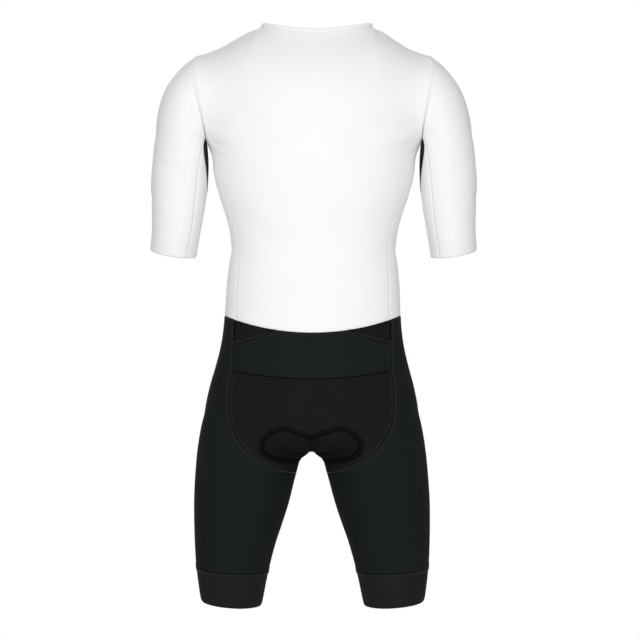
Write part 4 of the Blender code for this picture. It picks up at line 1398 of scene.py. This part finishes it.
@dataclass
class Lower:
    """Pocket, seat, pad, legs and hem bands."""

    form: Form
    finishes: Wardrobe
    black: Thread
    seat_top: float = -0.5525
    step: float = 0.0045
    yoke_depth: float = 0.0019
    edge_wall: float = 0.0018
    pad_depth: float = 0.0020
    pad_wall: float = 0.0040
    stitch_lines: tuple[float, float] = (0.0022, 0.0046)
    folded_cut: float = 0.0102

    def pocket(self) -> None:
        """Pocket panel, its bound mouths and the layer behind."""
        f = self.form
        half = f.pocket_half * (2 * stations(0.25, self.step) - 1)
        kinks = np.array((-f.mouth_inner, f.mouth_inner))
        x = np.unique(np.round(np.concatenate((half, kinks)), 6))
        r = stations(0.08, self.step)
        top, wide = f.mouth(x)
        floor = f.pocket_floor(x)
        z = floor[None, :] * (1 - r[:, None]) + (top - wide)[None, :] * r[:, None]
        front = Patch(f.at_x(x[None, :], z), (0, 0, -0.53), seams="tblr", groove=0.0007, seed=13)
        cloth(f, "pocket_panel_cloth", "pocket_panel", [front], self.finishes.black)
        side = f.mouth_inner + (f.pocket_half - f.mouth_inner) * stations(0.07, 0.003)
        top, wide = f.mouth(side)
        rr = np.linspace(0, 1, 9)
        z = (top - wide)[None, :] * (1 - rr[:, None]) + top[None, :] * rr[:, None]
        puff = 0.0008 * np.sin(np.pi * rr) ** 0.6
        bound = Patch(f.at_x(side[None, :], z), (0, 0, -0.53), seams="b",
                      extra=lambda p: np.broadcast_to(puff[:, None], p.shape[:2]), seed=14)
        for name, mirror in (("left", False), ("right", True)):
            cloth(f, f"pocket_edge_{name}", f"pocket_binding_{name}", [bound], self.finishes.elastic,
                  mirror=mirror, wall=self.edge_wall, stretch=1.02, cut=self.folded_cut)
        top = f.waist_at(x)
        z = floor[None, :] * (1 - r[:, None]) + top[None, :] * r[:, None]
        behind = Patch(f.at_x(x[None, :], z), (0, 0, -0.53), seams="b", depth=self.yoke_depth, seed=15)
        cloth(f, "back_yoke_cloth", "back_yoke", [behind], self.finishes.matte)
        for side_name in "lrb":
            self.black.add(front.seam_line(side_name, 0.0024))
        self.black.add(bound.seam_line("b", 0.0012), mirror=True)

    def imprint(self, points: Array) -> tuple[Array, Array]:
        """Height of the pad's outline that shows through the seat, and the painted shade along it.

        Args:
            points: points of the back of the seat.

        Returns:
            Heights of the cloth, and the painted shade in its pressed lines and over the pad's inside, darker
            towards the bottom.
        """
        outline = np.array(((0.0, -0.6545), (0.018, -0.6475), (0.0387, -0.6405), (0.0560, -0.6430),
                            (0.0720, -0.6545), (0.0775, -0.6690), (0.0730, -0.6810), (0.0600, -0.6885),
                            (0.0440, -0.6935), (0.0220, -0.6965), (0.0, -0.6975)))
        t = np.linspace(0, len(outline) - 1, 90)
        smooth_line = Curve(*[(i, x, z) for i, (x, z) in enumerate(outline)])(t)
        x, z = np.abs(points[..., 0]), points[..., 2]
        away = np.full(x.shape, 1.0)
        inside = np.zeros(x.shape, bool)
        for (ax, az), (bx, bz) in zip(smooth_line[:-1], smooth_line[1:]):
            dx, dz = bx - ax, bz - az
            share = np.clip(((x - ax) * dx + (z - az) * dz) / (dx * dx + dz * dz), 0, 1)
            away = np.minimum(away, np.hypot(x - ax - share * dx, z - az - share * dz))
            crosses = (az > z) != (bz > z)
            inside ^= crosses & (x < ax + (z - az) / (bz - az if abs(bz - az) > 1e-9 else 1e-9) * dx)
        back = np.clip(points[..., 1] / 0.02, 0, 1)
        signed = np.where(inside, away, -away)
        swell = 0.0022 * ease((signed + 0.001) / 0.014)
        inner = np.exp(-((signed - 0.0028) / 0.0018) ** 2)
        outer = np.exp(-((signed + 0.0018) / 0.0014) ** 2)
        low = np.clip((-0.655 - z) / 0.03, 0, 1)
        # Painted shade: dark bands along both sides of the outline, and a fainter darkening over the pad's inside,
        # all stronger towards the bottom.
        painted_shade = np.clip(1.5 * inner * (0.7 + 0.3 * low) + 1.3 * (0.6 + 0.4 * low) * outer, 0, 1) * back
        painted_shade += 0.30 * ease((signed - 0.002) / 0.004) * (0.55 + 0.45 * low) * (1 - painted_shade) * back
        return (swell - 0.0018 * inner - 0.0012 * outer) * back, painted_shade

    def seat(self) -> None:
        """Seat panel with the outline of the pad, and the pad inside."""
        f = self.form
        high, low, tip = -0.60, -0.7005, 0.0175
        v = np.concatenate((self.seat_top + (high - self.seat_top) * stations(0.05, 0.004, high=False)[:-1],
                            np.linspace(high, low, 84), low - tip * stations(tip, 0.0025, low=False)[1:]))
        u = stations(0.15, 0.0013, high=False)
        edge = f.seat_seam(v)
        turn = edge[:, None] + (math.pi - edge)[:, None] * u[None, :]
        x = f.lower(v[:, None], turn)[..., 0]
        sag = np.interp(v, (-0.64, -0.595, self.seat_top), (0.0, 0.5, 1.0))[:, None]
        back = f.lower(v[:, None] + sag * (f.pocket_floor(x) - self.seat_top), turn)
        height, painted_shade = self.imprint(back)
        half = Patch(back, (0, 0, -0.62), seams="tbl", extra=lambda _: height, seed=16)
        vf = np.concatenate((np.linspace(f.seat_front_z, -0.70, 34)[:-1], np.linspace(-0.70, f.seat_tip, 12)))
        fu = stations(0.06, 0.003, high=False)
        start = f.front_turn(vf)
        front = f.lower(vf[:, None], -(start[:, None] + (math.pi - start)[:, None] * fu[None, :]))
        fore = Patch(front, (0, 0, -0.60), seams="l", seed=17)
        # The pad's painted shade joins the painted shade of the seam grooves.
        half.painted_shade = np.maximum(half.painted_shade, painted_shade)
        self.join_halves(half, fore)
        cloth(f, "seat_panel_cloth", "seat_panel", [half, fore, Mirrored(half), Mirrored(fore)],
              self.finishes.matte, stretch=1.05, halves=2, lengthwise=2)
        for inset in self.stitch_lines:
            self.black.add(half.seam_line("l", inset), mirror=True)
        self.pad(half.points)

    def join_halves(self, *patches: Patch) -> None:
        """Bring the centre line of each half exactly to the middle.

        Args:
            patches: the patches.
        """
        for patch in patches:
            near = np.abs(patch.points[..., 0]) < 0.0004
            patch.points[..., 0] = np.where(near, 0.0, patch.points[..., 0])

    def pad(self, seat: Array) -> None:
        """Cushioned pad inside the seat, as one crowned closed form on each side of the centre.
        """
        f = self.form
        v = np.linspace(-0.648, -0.6945, 26)
        edge = np.interp(-v, -f.pad_edge.keys[::-1], f.pad_edge(f.pad_edge.keys[::-1]))
        u = np.linspace(0, 1, 40)
        turn = edge[:, None] + (math.pi - edge)[:, None] * u[None, :]
        points = f.lower(v[:, None], turn)
        patch = Patch(points, (0, 0, -0.60), seams="", depth=self.pad_depth, seed=18)
        self.join_halves(patch)
        front_v = np.linspace(-0.648, -0.6945, 26)
        start = f.front_turn(front_v) * 0.4 + math.pi * 0.6
        fore = Patch(f.lower(front_v[:, None], -(start[:, None] + (math.pi - start)[:, None] * u[None, :])),
                     (0, 0, -0.60), seams="", depth=self.pad_depth, seed=19)
        self.join_halves(fore)
        cloth(f, "chamois_pad_cloth", "chamois_pad", [patch, fore, Mirrored(patch), Mirrored(fore)],
              self.finishes.foam, wall=self.pad_wall)

    def legs(self) -> None:
        """Leg panels round the outside, and their elastic hem bands."""
        f = self.form
        r = stations(0.055, self.step, high=False)[:-1]
        u = stations(0.52, self.step)
        v = np.full(len(r), self.seat_top)
        for _ in range(6):
            edge = math.pi - 2 * np.arcsin(f.pocket_half / f.trunk_rows(v)[..., 0])
            v = f.waist(np.cos(edge / 2)) * (1 - r) + self.seat_top * r
        turn = edge[:, None] + (-math.pi - edge)[:, None] * u[None, :]
        top = f.lower(f.waist(np.cos(turn / 2)) * (1 - r[:, None]) + self.seat_top * r[:, None], turn)
        vm = np.concatenate((np.linspace(self.seat_top, f.thigh_z, 36)[:-1],
                             np.linspace(f.thigh_z, f.seat_tip, 9)))
        edge, end = f.seat_seam(vm)[:, None], -f.front_turn(vm)[:, None]
        middle = f.lower(vm[:, None], edge + (end - edge) * u[None, :])
        vl = f.seat_tip + (f.cuff_z - f.seat_tip) * stations(0.152, self.step, low=False)[1:]
        below = f.lower(vl[:, None], math.pi - 2 * math.pi * u[None, :])
        rows = np.concatenate((top, middle, below))
        patch = Patch(rows, (0.1, 0, -0.75), seed=20,
                      extra=lambda p: 0.0012 * np.exp(-((p[..., 2] - rows[-1, :, 2]) / 0.004) ** 2))
        vh = f.cuff_z + (f.hem_z - f.cuff_z) * stations(0.0555, 0.003)
        squeeze = 0.0010 * np.exp(-((vh - f.hem_z) / 0.006) ** 2)
        squeeze = squeeze - 0.0012 * np.exp(-((vh - f.cuff_z) / 0.004) ** 2)
        around = math.pi - 2 * math.pi * u[None, :]
        hem = Patch(f.lower(vh[:, None], around), (0.13, 0, -0.9), seams="tb", groove=0.0009,
                    extra=lambda p: np.broadcast_to(-squeeze[:, None], p.shape[:2]), seed=21)
        for side, mirror in (("left", False), ("right", True)):
            cloth(f, f"leg_{side}_cloth", f"leg_{side}", [patch], self.finishes.black,
                  mirror=mirror)
            cloth(f, f"gripper_{side}_cloth", f"gripper_{side}", [hem], self.finishes.elastic,
                  mirror=mirror, stretch=1.12)
        for inset in self.stitch_lines:
            self.black.add(hem.seam_line("t", inset), mirror=True)
            self.black.add(patch.seam_line("l", inset), mirror=True)
            self.black.add(patch.seam_line("t", inset), mirror=True)

    def build(self) -> None:
        """Make every piece of the lower half."""
        self.pocket()
        self.seat()
        self.legs()


# ---------------------------------------------------------------- studio

@dataclass
class Studio:
    """Plain pale floor, soft light and the camera."""

    centre: tuple[float, float] = (-0.0096, -0.4736)
    distance: float = 2.9
    lens: float = 101.95
    floor_z: float = -1.73
    floor_radius: float = 1.2

    def floor(self) -> None:
        """Round pale floor."""
        ring = [(self.floor_radius * math.cos(a), self.floor_radius * math.sin(a), self.floor_z)
                for a in np.linspace(0, 2 * math.pi, 97)[:-1]]
        mesh = bpy.data.meshes.new("Floor")
        mesh.from_pydata(ring, [], [tuple(range(96))])
        material = bpy.data.materials.new("Pale floor")
        material.use_nodes = True
        shader = material.node_tree.nodes["Principled BSDF"]
        shader.inputs["Base Color"].default_value = (0.86, 0.86, 0.86, 1.0)
        shader.inputs["Roughness"].default_value = 0.9
        mesh.materials.append(material)
        make_object("Floor", mesh)

    def world(self) -> None:
        """Even white surroundings, dimmer as a light than as a backdrop."""
        world = bpy.data.worlds.new("Studio")
        bpy.context.scene.world = world
        world.use_nodes = True
        n = Nodes(world.node_tree)
        out = n.add("ShaderNodeOutputWorld")
        seen, given = n.add("ShaderNodeBackground"), n.add("ShaderNodeBackground")
        seen.inputs["Color"].default_value = given.inputs["Color"].default_value = (1.0, 1.0, 1.0, 1.0)
        seen.inputs["Strength"].default_value, given.inputs["Strength"].default_value = 1.0, 0.47
        path, mix = n.add("ShaderNodeLightPath"), n.add("ShaderNodeMixShader")
        n.link(path.outputs["Is Camera Ray"], mix.inputs[0])
        n.link(given.outputs[0], mix.inputs[1])
        n.link(seen.outputs[0], mix.inputs[2])
        n.link(mix.outputs[0], out.inputs["Surface"])

    def light(self, name: str, place: Sequence[float], aim: Sequence[float], size: float, power: float) -> None:
        """One soft square light.

        Args:
            name: its name.
            place: where it stands.
            aim: where it points.
            size: its side.
            power: its power in watts.
        """
        data = bpy.data.lights.new(name, "AREA")
        data.energy, data.size = power, size
        item = bpy.data.objects.new(name, data)
        bpy.context.scene.collection.objects.link(item)
        item.location = place
        item.rotation_euler = (Vector(aim) - Vector(place)).to_track_quat("-Z", "Y").to_euler()

    def camera(self) -> None:
        """Camera level behind the suit, square to it."""
        data = bpy.data.cameras.new("Camera")
        data.lens, data.sensor_width = self.lens, 36.0
        data.clip_end = 20.0
        item = bpy.data.objects.new("Camera", data)
        bpy.context.scene.collection.objects.link(item)
        item.location = (self.centre[0], self.distance, self.centre[1])
        item.rotation_euler = (math.radians(90), 0.0, math.radians(180))
        bpy.context.scene.camera = item

    def build(self) -> None:
        """Set up the whole studio."""
        bpy.context.scene.view_settings.view_transform = "Standard"
        self.floor()
        self.world()
        self.light("Key", (0.35, 2.7, 0.3), (0, 0, -0.45), 1.6, 36.0)
        self.light("Fill", (-0.6, 2.5, -0.8), (0, 0, -0.45), 1.6, 17.0)
        self.light("Front", (0.3, -2.4, 0.4), (0, 0, -0.45), 1.8, 24.0)
        self.camera()


def dress_cad(finishes: Wardrobe) -> None:
    """Give the slider and the pull their metal.

    Args:
        finishes: all finishes.
    """
    for node in ("zip_slider", "zip_pull"):
        item = frame["nodes"][node]
        for place in item.material_slots:
            place.material = finishes.metal


def main() -> None:
    """Build the suit in order."""
    logging.basicConfig(level=logging.INFO, format="%(message)s")
    form, finishes = Form(), Wardrobe()
    white, black = Thread("white", []), Thread("black", [])
    Studio().build()
    Upper(form, finishes, white).build()
    Lower(form, finishes, black).build()
    for thread, material, slot in ((white, finishes.white_thread, "white_knit"),
                                   (black, finishes.black_thread, "black_knit")):
        tree = RepeatTree(Repeat.STITCH, material)
        item = tree.run(form, f"stitching_{thread.name}", thread.lines,
                        RepeatSizes(pitch=0.0030, long=0.0023, wide=0.00045, high=0.00035))
    dress_cad(finishes)
    bpy.context.view_layer.update()


if __name__ == "__main__":
    main()
